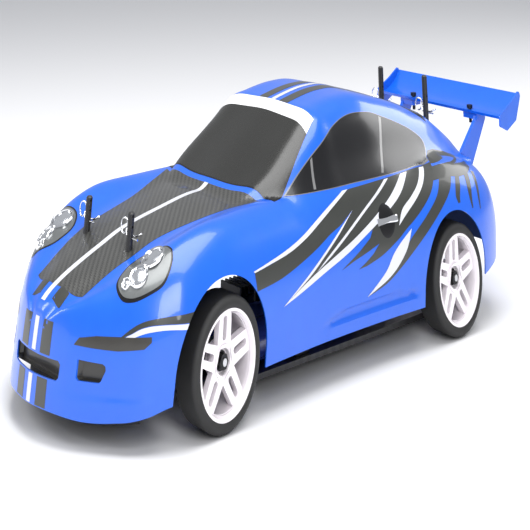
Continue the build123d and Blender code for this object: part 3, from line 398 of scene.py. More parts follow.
def spline_through(points, count):
    """count points on the natural cubic spline through points, by chord length."""
    p = np.array(points, float)
    at = np.r_[0, np.cumsum(np.linalg.norm(np.diff(p, axis=0), axis=1))]
    size = len(p)
    h = np.diff(at)
    system = np.eye(size)
    right = np.zeros((size, 2))
    for i in range(1, size - 1):
        system[i, i - 1:i + 2] = h[i - 1], 2 * (h[i - 1] + h[i]), h[i]
        right[i] = 6 * ((p[i + 1] - p[i]) / h[i] - (p[i] - p[i - 1]) / h[i - 1])
    bend = np.linalg.solve(system, right)
    t = np.linspace(0, at[-1], count)
    k = np.clip(np.searchsorted(at, t) - 1, 0, size - 2)
    span = h[k][:, None]
    u = (t - at[k])[:, None]
    v = span - u
    return (bend[k] * v**3 + bend[k + 1] * u**3) / (6 * span) + (p[k] / span - bend[k] * span / 6) * v \
        + (p[k + 1] / span - bend[k + 1] * span / 6) * u


def polar_outline(half, centre):
    """Angles from straight up and radii about (0, centre) along half of a mirrored outline."""
    full = [(-x, z) for x, z in half[:0:-1]] + half
    line = spline_through(full, 601)[300:]
    angle = np.maximum.accumulate(np.arctan2(line[:, 0], line[:, 1] - centre))
    return angle, np.hypot(line[:, 0], line[:, 1] - centre)


def ease(x, low, high):
    """0 below low, 1 above high, and smooth between."""
    t = np.clip((x - low) / (high - low), 0, 1)
    return t * t * (3 - 2 * t)


def skin_ring(y):
    """Half a ring of skin points at station y, from the top centre to the sill, cabin and body blended."""
    centre = min(0.5 * (curve(y, HOOD) + curve(y, SILL)), 60.0)
    angle, radius = polar_outline(body_section(y), centre)
    turn = np.linspace(0, angle[-1], COLUMNS)
    r = np.interp(turn, angle, radius)
    if CABIN[0] < y < CABIN[1]:
        cabin_angle, cabin_radius = polar_outline(cabin_section(y), centre)
        cabin = np.interp(turn, cabin_angle, cabin_radius, right=0)
        share = np.clip(0.5 + 0.5 * (r - cabin) / FILLET, 0, 1)
        r = cabin * (1 - share) + r * share + FILLET * share * (1 - share)
    x = r * np.sin(turn)
    z = centre + r * np.cos(turn)
    # The groove above the sill, deep between the wheels and wider in its middle
    groove_top = 30 + 6.3 * ease(y, -45, 0) - 2.5 * ease(y, 40, 84)
    groove = ease(z, 29.5, 31.5) * (1 - ease(z, groove_top - 1.5, groove_top + 0.8)) * (x > 60)
    x = x - GROOVE_DEPTH * groove * ease(y, -42, -8) * (1 - ease(y, 76, 82))
    # The chin under the nose, flared a little
    chin = (1 - ease(z, 21, 26)) * (1 - ease(y, -208, -180))
    x = x * (1 + CHIN_FLARE * chin)
    return np.c_[x, np.full(COLUMNS, y), z]


def whole_ring(half):
    """A ring from sill to sill."""
    return np.r_[half[:0:-1] * (-1, 1, 1), half]


def skin_grid():
    """Rings of skin points from the nose to the tail, closest together where the skin turns fastest, with a
    shallow dome closing each end."""
    stations = np.r_[np.arange(NOSE, -226, 0.4), np.arange(-226, -200, 0.9), np.arange(-200, 196, 2.2),
                     np.arange(196, TAIL, 0.9), TAIL]
    rings = [whole_ring(skin_ring(y)) for y in stations]
    for end, way in ((0, -1), (-1, 1)):
        edge = rings[end]
        middle = np.array([0, edge[0][1], edge[0][2]])
        dome = []
        for share in (0.985, 0.96, 0.92, 0.86, 0.78, 0.68, 0.56, 0.42, 0.27, 0.12, 0.0):
            ring = middle + (edge - middle) * share
            ring[:, 1] += way * DOME_DEPTH * (1 - share**2)
            dome.append(ring)
        rings = dome[::-1] + rings if end == 0 else rings + dome
    return np.array(rings)


def grid_faces(rows, columns):
    """Quads between the rows of a grid."""
    index = np.arange(rows * columns).reshape(rows, columns)
    return np.stack([index[:-1, :-1], index[:-1, 1:], index[1:, 1:], index[1:, :-1]], -1).reshape(-1, 4)


GRID = skin_grid()
SKIN_POINTS = GRID.reshape(-1, 3) * MM
SKIN_FACES = grid_faces(GRID.shape[0], GRID.shape[1])
SKIN_TREE = BVHTree.FromPolygons([tuple(p) for p in SKIN_POINTS], [tuple(f) for f in SKIN_FACES.tolist()])


# ---- Painted shell ----
ARCH_CUT_WIDTH = 240.0
NOSE_CUT_START = -240.0
NOSE_CUT_DEPTH = 40.0
POST_HOLE = 3.4
POST_CUT_START = 60.0
POST_CUT_DEPTH = 90.0


def arch_cutters():
    """Prisms across the car that cut the wheel arches: a round top on straight sides."""
    cutters = []
    for y, z, radius in ARCHES:
        outline = arc_points((y, z), radius, 97, 0, pi)
        outline += [(y - radius, -20), (y + radius, -20)]
        cutters.append(cutter_from("arch_cutter", outline, lambda u, v, w: (w - ARCH_CUT_WIDTH / 2, u, v),
                                   ARCH_CUT_WIDTH))
    return cutters


SLOT = [(37.5, 46.2), (40.7, 49.6), (52, 51.2), (64.8, 51.6), (83.2, 52.2), (83.5, 49.8), (80.5, 46.8),
        (65.9, 45.3), (50.7, 45.7)]
SIDE_GRILLE = [(41.4, 40.0), (57.8, 39.2), (59.6, 38.2), (60, 36.3), (57.6, 31.6), (56.2, 30.6),
               (42.5, 30.6), (41.2, 31.8)]
CENTRE_GRILLE = [(-28, 30), (-26, 28.4), (26, 28.4), (28, 30), (28.5, 36), (26.5, 37.5), (-26.5, 37.5),
                 (-28.5, 36)]


def mirrored(outline):
    """The same outline on the other side of x = 0."""
    return [(-x, v) for x, v in outline[::-1]]


def nose_cutters():
    """Prisms through the bumper's openings."""
    outlines = [SIDE_GRILLE, mirrored(SIDE_GRILLE), CENTRE_GRILLE]
    return [cutter_from("nose_cutter", outline, lambda u, v, w: (u, NOSE_CUT_START + w, v), NOSE_CUT_DEPTH)
            for outline in outlines]


def make_shell():
    """The painted shell: the skin given a wall, with its arches, bumper openings and post holes cut."""
    shell = mesh_object("painted_shell", SKIN_POINTS, SKIN_FACES.tolist(), PAINT, "shell")
    shell.data.materials.append(PAINT_INSIDE)
    outward(shell)
    wall = shell.modifiers.new("wall", "SOLIDIFY")
    wall.thickness = WALL * MM
    wall.offset = -1
    wall.material_offset = 1
    wall.material_offset_rim = 0
    apply_modifiers(shell)
    cutters = arch_cutters() + nose_cutters()
    for x, y in POSTS:
        hole = arc_points((x, y), POST_HOLE, 40)
        cutters.append(cutter_from("post_cutter", hole, lambda u, v, w: (u, v, w + POST_CUT_START),
                                   POST_CUT_DEPTH))
    cut(shell, cutters)
    for cutter in cutters:
        bpy.data.objects.remove(cutter)
    smooth_shading(shell, 34)
    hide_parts("body_shell")
    return shell


# ---- Decals: thin stickers laid on the skin ----
VIEWS = {
    "left": (lambda u, v: Vector((0.2, u * MM, v * MM)), Vector((-1, 0, 0))),
    "top": (lambda u, v: Vector((u * MM, v * MM, 0.3)), Vector((0, 0, -1))),
    "front": (lambda u, v: Vector((u * MM, -0.4, v * MM)), Vector((0, 1, 0))),
    "back": (lambda u, v: Vector((u * MM, 0.4, v * MM)), Vector((0, -1, 0))),
}
DECAL_THICKNESS = 0.12


def inside(point, outline):
    """True if a 2-D point lies inside a closed outline."""
    odd = False
    for (xa, ya), (xb, yb) in zip(outline, outline[1:] + outline[:1]):
        if (ya > point[1]) != (yb > point[1]) and point[0] < (xb - xa) * (point[1] - ya) / (yb - ya) + xa:
            odd = not odd
    return odd


def even_edge(outline, longest):
    """The outline with its long edges split."""
    line = []
    for (xa, ya), (xb, yb) in zip(outline, outline[1:] + outline[:1]):
        pieces = max(1, int(np.hypot(xb - xa, yb - ya) / longest))
        line += [(xa + (xb - xa) * k / pieces, ya + (yb - ya) * k / pieces) for k in range(pieces)]
    return line


def decal_mesh(outline, view, lift, spacing):
    """Points and triangles of an outline laid on the skin from a view, raised by lift millimetres."""
    edge = even_edge(outline, spacing)
    low = np.min(edge, axis=0)
    high = np.max(edge, axis=0)
    grid = [(u, v) for u in np.arange(low[0], high[0], spacing)
            for v in np.arange(low[1], high[1], spacing)]
    points = [Vector(p) for p in edge + [p for p in grid if inside(p, edge)]]
    border = [(k, (k + 1) % len(edge)) for k in range(len(edge))]
    flat, _, triangles, *_ = delaunay_2d_cdt(points, border, [], 1, 0.05)
    place, direction = VIEWS[view]
    laid = []
    for point in flat:
        hit, normal, _, _ = SKIN_TREE.ray_cast(place(point.x, point.y), direction)
        if hit is None:
            hit, normal, _, _ = SKIN_TREE.find_nearest(place(point.x, point.y) + direction * 0.2)
        if normal.dot(direction) > 0:
            normal = -normal
        laid.append((hit, normal))
    return [hit + normal * lift * MM for hit, normal in laid], [list(t) for t in triangles]


def decal(name, outlines, view, material, lift=0.15, spacing=2.6, both_sides=False, arches=()):
    """One sticker, of one or more outlines, with its outer face lift millimetres above the skin. With
    both_sides it is mirrored across the car."""
    vertices = []
    faces = []
    for outline in outlines:
        points, triangles = decal_mesh(outline, view, lift, spacing)
        faces += [[len(vertices) + k for k in triangle] for triangle in triangles]
        vertices += points
    if both_sides:
        count = len(vertices)
        vertices += [Vector((-p.x, p.y, p.z)) for p in vertices]
        faces += [[count + k for k in face[::-1]] for face in faces]
    piece = mesh_object(name, vertices, faces, material, "shell")
    direction = VIEWS[view][1]
    work = bmesh.new()
    work.from_mesh(piece.data)
    for face in work.faces:
        face.normal_update()
        side = -1 if face.calc_center_median().x > 0 else 1
        way = Vector((side * direction.x, -direction.y, -direction.z))
        if face.normal.dot(way) < 0:
            face.normal_flip()
    work.to_mesh(piece.data)
    work.free()
    thicken = piece.modifiers.new("thicken", "SOLIDIFY")
    thicken.thickness = DECAL_THICKNESS * MM
    thicken.offset = -1
    apply_modifiers(piece)
    if arches:
        cut(piece, arches)
    smooth_shading(piece, 50)
    return piece


WINDOW_BASE = [(-52, 99.4), (-22, 99.6), (19, 99.6), (53, 99.2), (85, 98.8), (112, 98.6), (122, 99.6)]
WINDOW_TOP = [(-52, 99.4), (-36, 109), (-16, 119.5), (-1, 127), (13, 132.6), (28, 136), (43, 136.6),
              (61, 134.8), (77, 130.6), (97, 124.6), (117, 117.4), (130, 110), (129, 104), (122, 99.6)]
DARK_MASS = (
    curved([(10, 97.4), (-5, 92.6), (-23, 86.2), (-44, 79.8), (-65, 75.2), (-89, 72.2), (-105, 71.0)])
    + curved([(-103, 61.8), (-80, 63.4), (-58, 67.1), (-35, 72.4), (-18, 77.4), (-4, 80.6), (9.7, 85.7)])
    + curved([(10.9, 86), (-9.3, 76.7), (-29.3, 67.5), (-48, 59.5), (-74.4, 49.6)])
    + curved([(-52, 54.2), (-30, 59.2), (-2.6, 65.2), (16, 70.4), (30, 73.4)])
    + curved([(26, 69.4), (11, 63.6), (-8.7, 57.3)])
    + curved([(6.3, 60.1), (22, 62.6), (36, 65.2)])
    + curved([(28, 60.6), (20, 57.6), (10.8, 54.9)])
    + curved([(20, 55.4), (39, 58.6), (58, 64.4), (68, 68.6), (83, 74.4), (101, 83), (112, 90.4),
              (121, 99)])
    + [(106, 98.2), (57, 97.9)]
)
TRAILING_DARK = blade(
    [(119, 90.5), (110, 82.3), (92, 72.6), (74, 63.8), (62, 56.6), (44, 46.4), (20.3, 38.8)],
    [(136, 90.5), (126.5, 82.6), (106.7, 71.9), (83.4, 60.2), (60.3, 49.2), (42, 42.4), (20.3, 38.8)],
)
PILLAR_DARK = [(112, 90.4), (121, 99), (131, 103.6), (141, 103), (158, 99.5), (172, 95.5), (170, 90.5),
               (160, 88.5), (147, 88.6), (136, 90), (119, 90.5)]
FENDER_DARK = [
    blade([(141, 90), (136, 84), (133.5, 79), (135, 75)], [(147, 90), (143, 84), (139, 79), (137.5, 75.2)]),
    blade([(154, 89), (152, 82), (151.5, 76), (152.5, 70)],
          [(161, 88.6), (158, 82), (155, 76), (153.8, 70)]),
    blade([(167, 89), (165.5, 82), (164, 75), (163.6, 68)],
          [(172, 88), (169.5, 82), (166.5, 75), (164.6, 68)]),
]
WHITE_BLADES = [
    blade([(3.3, 97.4), (-12, 92.4), (-30.4, 86.2), (-48, 81), (-66.9, 77), (-88.8, 73.8), (-106, 71.8)],
          [(9.5, 97.4), (-5.2, 92.4), (-23.4, 85.8), (-44, 79.5), (-65.2, 75), (-89, 72.4), (-105, 71.0)]),
    blade([(10.9, 86), (-9.6, 76.9), (-29.8, 67.8), (-48.6, 59.8), (-74.4, 49.6)],
          [(10.9, 86), (-7.2, 76.6), (-27, 67.4), (-45.4, 59.5), (-74.4, 49.6)]),
    blade([(55, 97.4), (40, 91), (25, 85.2), (4, 77.1), (-21, 67.4), (-36.5, 61)],
          [(60, 97.4), (44, 90.6), (28, 84.6), (7, 76.6), (-18, 67), (-36.5, 61)]),
    blade([(77.6, 97.6), (58.4, 88.1), (38.3, 80.7), (20, 74.9), (2.8, 70), (-20.7, 64.3), (-39, 60),
           (-57, 55), (-74.4, 49.6)],
          [(87, 97.6), (70.4, 87.9), (52.6, 81), (36.6, 75.9), (16.6, 70), (-2.6, 64.6), (-30, 58.6),
           (-52.6, 53.7), (-74.4, 49.6)]),
    blade([(104, 97.8), (92, 90.3), (80, 84.9), (67.1, 79.5), (60.5, 71.6)],
          [(109.5, 97.8), (98, 89.8), (85.4, 83.2), (71.4, 77), (60.5, 71.6)]),
    blade([(74, 68.4), (60.2, 62.3), (51, 57), (43.8, 50.5), (34.7, 45.3), (20.3, 38.8)],
          [(74, 68.4), (67, 58.2), (56.4, 50.2), (45.5, 45.2), (34, 42.0), (20.3, 38.8)]),
    blade([(140, 102.6), (128, 96.5), (116, 90.3)], [(148, 101.4), (134, 95.5), (121.5, 89.9)]),
    blade([(160, 98.6), (150, 94.4), (138.5, 89.9)], [(168, 96.6), (158, 93.2), (146.5, 88.8)]),
    blade([(174, 94.5), (168, 91.6), (160.5, 88.6)], [(175.4, 94), (170, 91.2), (162.6, 88.4)]),
]
FRONT_SWOOSH_DARK = blade([(-207, 50.8), (-199, 57.1), (-188, 60.1), (-165, 61.4), (-158, 61.4)],
                          [(-207, 50.6), (-202, 53.1), (-195, 56.4), (-184, 57.4), (-158, 56.6)])
FRONT_SWOOSH_WHITE = blade([(-206, 50.6), (-202, 52.9), (-195, 56.1), (-184, 57.1), (-158, 56.3)],
                           [(-206, 50.4), (-201, 51.6), (-193, 54), (-180, 54.8), (-158, 53.2)])

SCREEN_BASE = [(-71, -63.5), (-46, -69.5), (0, -73), (46, -69.5), (71, -63.5)]
SCREEN_SIDE = [(71, -63.5), (69.5, -55), (66, -42), (62.5, -30), (59.5, -18), (57.5, -6)]
SCREEN_TOP = [(57.5, -6), (30, -3.5), (0, -2.5), (-30, -3.5), (-57.5, -6)]
BANNER_LOW = [(-59, -16), (-30, -14), (0, -13.2), (30, -14), (59, -16)]


def screen_outline():
    """The windscreen, in plan."""
    side = curved(SCREEN_SIDE)
    other_side = [(-x, y) for x, y in side[:0:-1]]
    return curved(SCREEN_BASE)[:-1] + side[:-1] + curved(SCREEN_TOP)[:-1] + other_side


def banner_outline():
    """The pale band across the top of the windscreen, in plan."""
    return curved(BANNER_LOW)[:-1] + [(59, -16), (57.5, -6)] + curved(SCREEN_TOP)[1:-1] + [(-57.5, -6)]


def shrunk(outline, amount):
    """An outline drawn in towards its middle by about amount."""
    middle = np.mean(outline, axis=0)
    reach = np.max(np.linalg.norm(np.array(outline) - middle, axis=1))
    return [tuple(middle + (np.array(p) - middle) * (1 - amount / reach)) for p in outline]


def stripe(x_low, x_high, y_low, y_high):
    """A straight stripe along the car, in plan."""
    return [(x_low, y_low), (x_high, y_low), (x_high, y_high), (x_low, y_high)]


def make_decals():
    """The stickers on the sides and the windscreen: windows, side graphics, windscreen and its banner."""
    arches = arch_cutters()
    window = curved(WINDOW_TOP, 4)[:-1] + WINDOW_BASE[::-1][:-1]
    decal("side_window_line", [window], "left", LINE, 0.16, both_sides=True)
    decal("side_window", [shrunk(window, 2.0)], "left", WINDOW, 0.26, both_sides=True)
    pillar = [(54, 100.8), (57, 100.8), (75.5, 129.8), (72.5, 130.8)]
    front_corner = [(-25, 100.8), (-22.6, 100.8), (-18, 117.2), (-20.4, 115.8)]
    decal("window_pillar", [pillar], "left", LINE, 0.34, both_sides=True)
    decal("window_corner", [front_corner], "left", LINE, 0.34, both_sides=True)
    decal("side_dark", [DARK_MASS], "left", STRIPE_DARK, 0.14, both_sides=True, arches=arches)
    decal("side_trail", [TRAILING_DARK], "left", STRIPE_DARK, 0.14, both_sides=True)
    decal("pillar_dark", [PILLAR_DARK], "left", STRIPE_DARK, 0.14, both_sides=True)
    decal("fender_dark", FENDER_DARK, "left", STRIPE_DARK, 0.14, both_sides=True, arches=arches)
    decal("side_white", WHITE_BLADES, "left", STRIPE_WHITE, 0.26, both_sides=True, arches=arches)
    decal("front_swoosh_dark", [FRONT_SWOOSH_DARK], "left", STRIPE_DARK, 0.14, both_sides=True,
          arches=arches)
    decal("front_swoosh_white", [FRONT_SWOOSH_WHITE], "left", STRIPE_WHITE, 0.14, both_sides=True,
          arches=arches)
    decal("windscreen_line", [screen_outline()], "top", WINDOW, 0.16)
    decal("windscreen", [shrunk(screen_outline(), 1.6)], "top", SCREEN, 0.26)
    decal("windscreen_banner", [banner_outline()], "top", BANNER, 0.36)
    for cutter in arches:
        bpy.data.objects.remove(cutter)


BONNET_EDGE = [(30.5, -217), (32, -208), (34.5, -195), (38, -177), (39, -151), (44, -120), (54, -92),
               (64, -70)]


def make_stripes():
    """The woven bonnet panel and the stripes that run from nose to tail."""
    side = curved(BONNET_EDGE)
    front = curved([(-30.5, -217), (-16, -220.5), (0, -221.5), (16, -220.5), (30.5, -217)])
    base = curved([(64, -70), (45, -74), (0, -77), (-45, -74), (-64, -70)])
    panel = front[:-1] + side[:-1] + base[:-1] + [(-x, y) for x, y in side[:0:-1]]
    decal("bonnet_panel", [panel], "top", BONNET, 0.14)
    dark = [stripe(8, 18.5, -228.5, -220.5), stripe(-18.5, -8, -228.5, -220.5),
            stripe(8, 19, -2, 103), stripe(-19, -8, -2, 103),
            stripe(8, 19, 160, 212), stripe(-19, -8, 160, 212)]
    decal("stripes_dark", dark, "top", STRIPE_DARK, 0.14)
    white = [stripe(-2.4, 2.4, -231, -77), stripe(-2.4, 2.4, -2, 103), stripe(-2.4, 2.4, 160, 212)]
    decal("stripe_white", white, "top", STRIPE_WHITE, 0.27)
    lower_dark = [stripe(8, 18.5, 15, 27.8), stripe(-18.5, -8, 15, 27.8), stripe(8, 18.5, 38.5, 54),
                  stripe(-18.5, -8, 38.5, 54)]
    decal("nose_stripes_dark", lower_dark, "front", STRIPE_DARK, 0.14)
    lower_white = [stripe(-2.4, 2.4, 15, 27.8), stripe(-2.4, 2.4, 38.5, 54)]
    decal("nose_stripe_white", lower_white, "front", STRIPE_WHITE, 0.2)
    decal("nose_slots", [SLOT, mirrored(SLOT)], "front", GRILLE, 0.16, spacing=1.6)
    backlight = (
        curved([(-37, 106), (0, 104), (37, 106)])[:-1]
        + curved([(37, 106), (43, 128), (47, 152)])[:-1]
        + curved([(47, 152), (0, 157), (-47, 152)])[:-1]
        + curved([(-47, 152), (-43, 128), (-37, 106)])[:-1]
    )
    decal("rear_window", [backlight], "top", SCREEN, 0.2)


# ---- Pieces that stand on the skin ----
def turned_piece(name, profile, centre, axis, material, steps=48, closed=False):
    """A lathe-turned piece: profile points are (radius, height) along axis from centre, in millimetres."""
    rotation = Vector((0, 0, 1)).rotation_difference(axis).to_matrix()
    vertices = []
    for radius, height in profile:
        for k in range(steps):
            a = 2 * pi * k / steps
            vertices.append(centre + rotation @ Vector((radius * cos(a), radius * sin(a), height)) * MM)
    rows = len(profile)
    faces = []
    for row in range(rows - 1 + closed):
        for k in range(steps):
            a, b = row * steps, ((row + 1) % rows) * steps
            faces.append([a + k, a + (k + 1) % steps, b + (k + 1) % steps, b + k])
    if not closed:
        faces.append(list(range(steps))[::-1])
        faces.append([(rows - 1) * steps + k for k in range(steps)])
    piece = mesh_object(name, vertices, faces, material, "shell")
    outward(piece)
    smooth_shading(piece, 40)
    return piece


def skin_at(x, y):
    """The skin's point and outward normal above (x, y)."""
    hit, normal, _, _ = SKIN_TREE.ray_cast(Vector((x * MM, y * MM, 0.3)), Vector((0, 0, -1)))
    return hit, normal if normal.z > 0 else -normal


ROUND_LAMPS = ((62, -178, 9.4), (64, -191.5, 7.2), (59, -199, 3.6))  # x, y and radius
LAMP = [(72, -167.5), (78.5, -172), (81, -180), (77, -189), (69.5, -198.5), (61, -204), (53, -203.5),
        (47, -196), (45, -186), (48, -175), (58, -167)]


def make_lamps():
    """Headlamps: a dark rim, a pale field under the cover, and three bright round lamps on each."""
    outline = curved(LAMP + LAMP[:1], 5)[:-1]
    decal("headlamp_rim", [outline, mirrored(outline)], "top", WINDOW, 0.16, spacing=2)
    field = shrunk(outline, 1.4)
    decal("headlamp_field", [field, mirrored(field)], "top", LAMP_FIELD, 0.3, spacing=2)
    for side, label in ((1, "left"), (-1, "right")):
        for number, (x, y, r) in enumerate(ROUND_LAMPS):
            centre, normal = skin_at(side * x, y)
            bezel = [(r, -0.6), (r, 0.9), (r * 0.93, 1.5), (r * 0.84, 1.2), (r * 0.8, 0.2), (r * 0.8, -0.6)]
            turned_piece(f"lamp_bezel_{label}_{number}", bezel, centre, normal, CHROME, closed=True)
            bowl = [(r * 0.79, -0.5), (r * 0.79, 0.3), (r * 0.62, 0.9), (r * 0.4, 1.3), (r * 0.16, 1.5)]
            turned_piece(f"lamp_lens_{label}_{number}", bowl, centre, normal, LENS)


def side_piece(name, outline, height, material, bulge):
    """A raised badge-like piece on both doors, from an outline in side view, domed by bulge millimetres."""
    middle = np.mean(outline, axis=0)
    rings = [(1.0, -0.3), (1.0, height), (0.93, height + 0.6 * bulge), (0.7, height + bulge),
             (0.35, height + bulge)]
    for side, label in ((1, "left"), (-1, "right")):
        vertices = []
        for share, lift in rings:
            for point in outline:
                u, v = middle + (np.array(point) - middle) * share
                hit, normal, _, _ = SKIN_TREE.ray_cast(Vector((0.2, u * MM, v * MM)), Vector((-1, 0, 0)))
                normal = normal if normal.x > 0 else -normal
                place = hit + normal * lift * MM
                vertices.append(Vector((side * place.x, place.y, place.z)))
        count = len(outline)
        faces = [[row * count + k, row * count + (k + 1) % count, (row + 1) * count + (k + 1) % count,
                  (row + 1) * count + k] for row in range(len(rings) - 1) for k in range(count)]
        faces.append(list(range(count)))
        faces.append([(len(rings) - 1) * count + k for k in range(count)])
        piece = mesh_object(f"{name}_{label}", vertices, faces, material, "shell")
        outward(piece)
        smooth_shading(piece, 40)


DOOR_RECESS = (47.3, 76)
DOOR_RECESS_RADIUS = 9.4


def make_door_handles_and_shade():
    """A dark disc on each door where its round handle recess is, its darkness painted shade of that recess,
    with a bright bar handle across it.
    """
    recess = arc_points(DOOR_RECESS, DOOR_RECESS_RADIUS, 40)
    # Painted shade: a dark disc laid on the flat door stands in for the shadow inside the handle recess.
    side_piece("door_recess_painted_shade", recess, 0.15, DARK_STEEL, 0.2)
    bar = curved([(36, 74), (47.3, 74.4), (58.4, 74), (59.4, 76), (58.4, 78), (47.3, 77.6), (36, 78)])
    side_piece("door_handle", bar, 1.2, CHROME, 0.8)


def make_grilles():
    """A dark tray set behind each opening of the bumper."""
    outlines = {"left": SIDE_GRILLE, "right": mirrored(SIDE_GRILLE), "centre": CENTRE_GRILLE}
    for name, outline in outlines.items():
        middle = np.mean(outline, axis=0)
        count = len(outline)
        vertices = []
        for share, depth in ((1.06, 0.6), (0.96, 4.2), (0.96, 5.4), (1.14, 5.4), (1.14, 0.6)):
            for point in outline:
                u, v = middle + (np.array(point) - middle) * share
                hit, _, _, _ = SKIN_TREE.ray_cast(Vector((u * MM, -0.4, v * MM)), Vector((0, 1, 0)))
                vertices.append(Vector((u * MM, hit.y + (WALL + depth) * MM, v * MM)))
        faces = [[row * count + k, row * count + (k + 1) % count, (row + 1) * count + (k + 1) % count,
                  (row + 1) * count + k] for row in (0, 2, 3) for k in range(count)]
        faces += [[4 * count + k, 4 * count + (k + 1) % count, (k + 1) % count, k] for k in range(count)]
        faces += [[count + k for k in range(count)], [2 * count + k for k in range(count)]]
        piece = mesh_object(f"grille_{name}", vertices, faces, GRILLE, "shell")
        outward(piece)
        smooth_shading(piece, 30)


def make_tail_lamps():
    """Red tail lamps on the rear corners."""
    outline = [(52, 66), (66, 67.5), (72, 66), (73, 60), (68, 55), (54, 56), (51, 60)]
    rounded = curved(outline + outline[:1], 4)[:-1]
    decal("tail_lamps", [rounded, mirrored(rounded)], "back", TAIL_RED, 0.3, spacing=1.6)


# ---- Wire clips ----
CLIP_WIRE = 0.55
CLIP_RING = 4.2
CLIP_RING_STEPS = 12


def clip_line():
    """One clip's centre line about its post: a leg through the post, a ring, and a leg round the post."""
    leg = [(10, 0, 0), (5, 0, 0), (0, 0, 0), (-5, 0, 0)]
    ring = []
    for k in range(CLIP_RING_STEPS + 1):
        share = k / CLIP_RING_STEPS
        a = radians(-90 + 330 * share)
        ring.append((-11 - CLIP_RING * sin(a), 1.6 + 1.2 * share, CLIP_RING - CLIP_RING * cos(a)))
    back = [(-6, 3.2, 1.4), (-3, 3.9, 0.2), (0, 4.0, 0), (3, 3.7, 0.2), (6, 3.4, 1.2), (9, 4.4, 2.6)]
    return leg + ring + back


def make_clips():
    """Four spring clips, one through each body post."""
    data = bpy.data.curves.new("wire_clips", "CURVE")
    data.dimensions = "3D"
    data.bevel_depth = CLIP_WIRE * MM
    data.bevel_resolution = 3
    data.use_fill_caps = True
    for x, y in POSTS:
        line = data.splines.new("NURBS")
        points = clip_line()
        line.points.add(len(points) - 1)
        for point, (dx, dy, dz) in zip(line.points, points):
            point.co = ((x + dx) * MM, (y + dy) * MM, (CLIP_HEIGHTS[y] + dz) * MM, 1)
        line.order_u = 4
        line.use_endpoint_u = True
        line.resolution_u = 6
    data.materials.append(CHROME)
    wires = bpy.data.objects.new("wires", data)
    bpy.context.scene.collection.objects.link(wires)
    graph = bpy.context.evaluated_depsgraph_get()
    graph.update()
    mesh = bpy.data.meshes.new_from_object(wires.evaluated_get(graph), depsgraph=graph)
    bpy.data.objects.remove(wires)
    clips = bpy.data.objects.new("wire_clips", mesh)
    bpy.context.scene.collection.objects.link(clips)
    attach(clips, "clips")
    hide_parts("body_clips")
    PIECES.append(clips)


# ---- Springs ----
STEPS_PER_TURN = 28
WIRE_SIDES = 10


def coil(name, node, along, turns, wire, body):
    """A coil spring with flat closed ends in the place of a CAD spring."""
    low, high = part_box(node)
    middle = (low + high) / 2
    across = [k for k in range(3) if k != along]
    radius = (high[across[0]] - low[across[0]]) / 2 - wire
    length = high[along] - low[along]
    steps = turns * STEPS_PER_TURN
    vertices = []
    for k in range(steps + 1):
        turn = 2 * pi * turns * k / steps
        height = low[along] + wire + (length - 2 * wire) * ease(k / steps, -0.04, 1.04)
        for j in range(WIRE_SIDES):
            a = 2 * pi * j / WIRE_SIDES
            reach = radius + wire * cos(a)
            point = [0.0, 0.0, 0.0]
            point[across[0]] = middle[across[0]] + reach * cos(turn)
            point[across[1]] = middle[across[1]] + reach * sin(turn)
            point[along] = height + wire * sin(a)
            vertices.append(point)
    faces = []
    for row in range(0, steps * WIRE_SIDES, WIRE_SIDES):
        for j in range(WIRE_SIDES):
            after = (j + 1) % WIRE_SIDES
            faces.append([row + j, row + after, row + WIRE_SIDES + after, row + WIRE_SIDES + j])
    faces += [list(range(WIRE_SIDES)), [steps * WIRE_SIDES + j for j in range(WIRE_SIDES)]]
    spring = mesh_object(name, vertices, faces, STEEL, body)
    outward(spring)
    smooth_shading(spring, 50)
    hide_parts(node)
    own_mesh(spring)


def make_springs():
    """The two front springs and the damper's spring."""
    for side, label in ((1, "left"), (-1, "right")):
        coil(f"coil_front_{label}", f"front_spring_{label}", along=2, turns=4, wire=0.00045,
             body="chassis")
    coil("coil_damper", "damper_spring", along=1, turns=8, wire=0.00055,
         body="damper_cylinder")


def move_to_frame():
    """Moves every piece made so far from the wheelbase's middle to the car's middle."""
    for piece in PIECES:
        piece.data.transform(Matrix.Translation((0, -MIDDLE_OF_CAR * MM, 0)))


# ---- Stage, lights and camera ----
HERO_PLACE = Vector((1.0040, -0.9191, 0.3492))
HERO_AZIMUTH = radians(47.31)
HERO_TILT = radians(-37.78)
HERO_ROLL = radians(0.35)
HERO_LENS = 70.07
HERO_SHIFT = {"shift_x": -0.0569, "shift_y": -2.362}
FLOOR_REACH = 6.0
FLOOR_HEIGHT = -0.0006


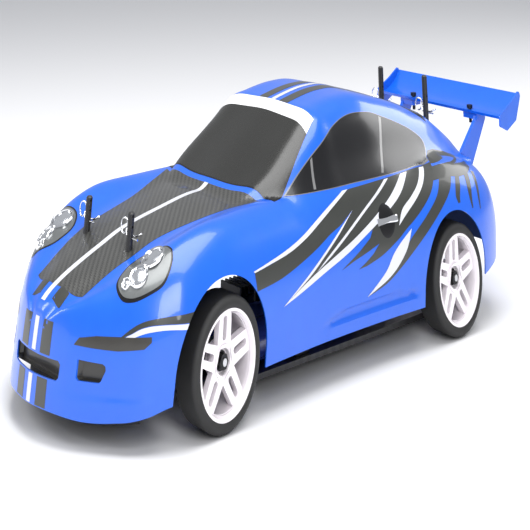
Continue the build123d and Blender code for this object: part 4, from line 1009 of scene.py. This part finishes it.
def make_camera():
    """A camera with a shifted lens, which squeezes the car to a square. The shift holds only at this place,
    so that a moved camera looks straight ahead."""
    data = bpy.data.cameras.new("camera")
    data.lens = HERO_LENS
    data.sensor_width = 36
    data.clip_start = 0.01
    camera = bpy.data.objects.new("camera", data)
    bpy.context.scene.collection.objects.link(camera)
    back = Vector((sin(HERO_AZIMUTH) * cos(HERO_TILT), -cos(HERO_AZIMUTH) * cos(HERO_TILT), sin(HERO_TILT)))
    right = (-back).cross(Vector((0, 0, 1))).normalized()
    up = right.cross(-back)
    rolled_right = right * cos(HERO_ROLL) + up * sin(HERO_ROLL)
    rolled_up = up * cos(HERO_ROLL) - right * sin(HERO_ROLL)
    turn = Matrix((rolled_right, rolled_up, back)).transposed().to_4x4()
    camera.matrix_world = Matrix.Translation(HERO_PLACE) @ turn
    for name, amount in HERO_SHIFT.items():
        driver = data.driver_add(name).driver
        driver.type = "SCRIPTED"
        place = driver.variables.new()
        place.name = "x"
        place.targets[0].id = camera
        place.targets[0].data_path = "location.x"
        driver.expression = f"{amount} if abs(x - {HERO_PLACE.x:.4f}) < 0.0005 else 0.0"
    bpy.context.scene.camera = camera


def area_light(name, place, target, size, power, colour=(1, 1, 1)):
    """A soft rectangular light that faces a target."""
    data = bpy.data.lights.new(name, "AREA")
    data.shape = "RECTANGLE"
    data.size, data.size_y = size
    data.energy = power
    data.color = colour
    light = bpy.data.objects.new(name, data)
    bpy.context.scene.collection.objects.link(light)
    light.location = place
    light.rotation_euler = (Vector(target) - Vector(place)).to_track_quat("-Z", "Y").to_euler()


def make_stage():
    """A plain pale floor under soft studio light."""
    material, _, shader = new_material("floor")
    shader.inputs["Base Color"].default_value = (0.86, 0.86, 0.87, 1)
    shader.inputs["Roughness"].default_value = 0.6
    mesh = bpy.data.meshes.new("floor")
    signs = ((-1, -1), (1, -1), (1, 1), (-1, 1))
    corners = [(x * FLOOR_REACH, y * FLOOR_REACH, FLOOR_HEIGHT) for x, y in signs]
    mesh.from_pydata(corners, [], [(0, 1, 2, 3)])
    mesh.materials.append(material)
    floor = bpy.data.objects.new("floor", mesh)
    bpy.context.scene.collection.objects.link(floor)
    world = bpy.data.worlds.new("studio")
    world.use_nodes = True
    world.node_tree.nodes["Background"].inputs[0].default_value = (0.93, 0.95, 1.0, 1)
    world.node_tree.nodes["Background"].inputs[1].default_value = 0.48
    bpy.context.scene.world = world
    bpy.context.scene.view_settings.view_transform = "Standard"
    area_light("top", (0.1, -0.1, 1.3), (0, 0, 0), (1.1, 1.1), 20)
    area_light("front_left", (1.2, -0.7, 0.8), (0, -0.1, 0.05), (0.5, 0.9), 13)
    area_light("front_right", (-0.9, -1.2, 0.7), (0, -0.1, 0.05), (0.4, 0.9), 10)
    area_light("behind", (0.2, 1.4, 0.8), (0, 0, 0.05), (1.0, 0.5), 7)


paint_nodes()
make_shell()
make_decals()
make_stripes()
make_lamps()
make_door_handles_and_shade()
make_grilles()
make_tail_lamps()
make_clips()
move_to_frame()
make_springs()
make_stage()
make_camera()
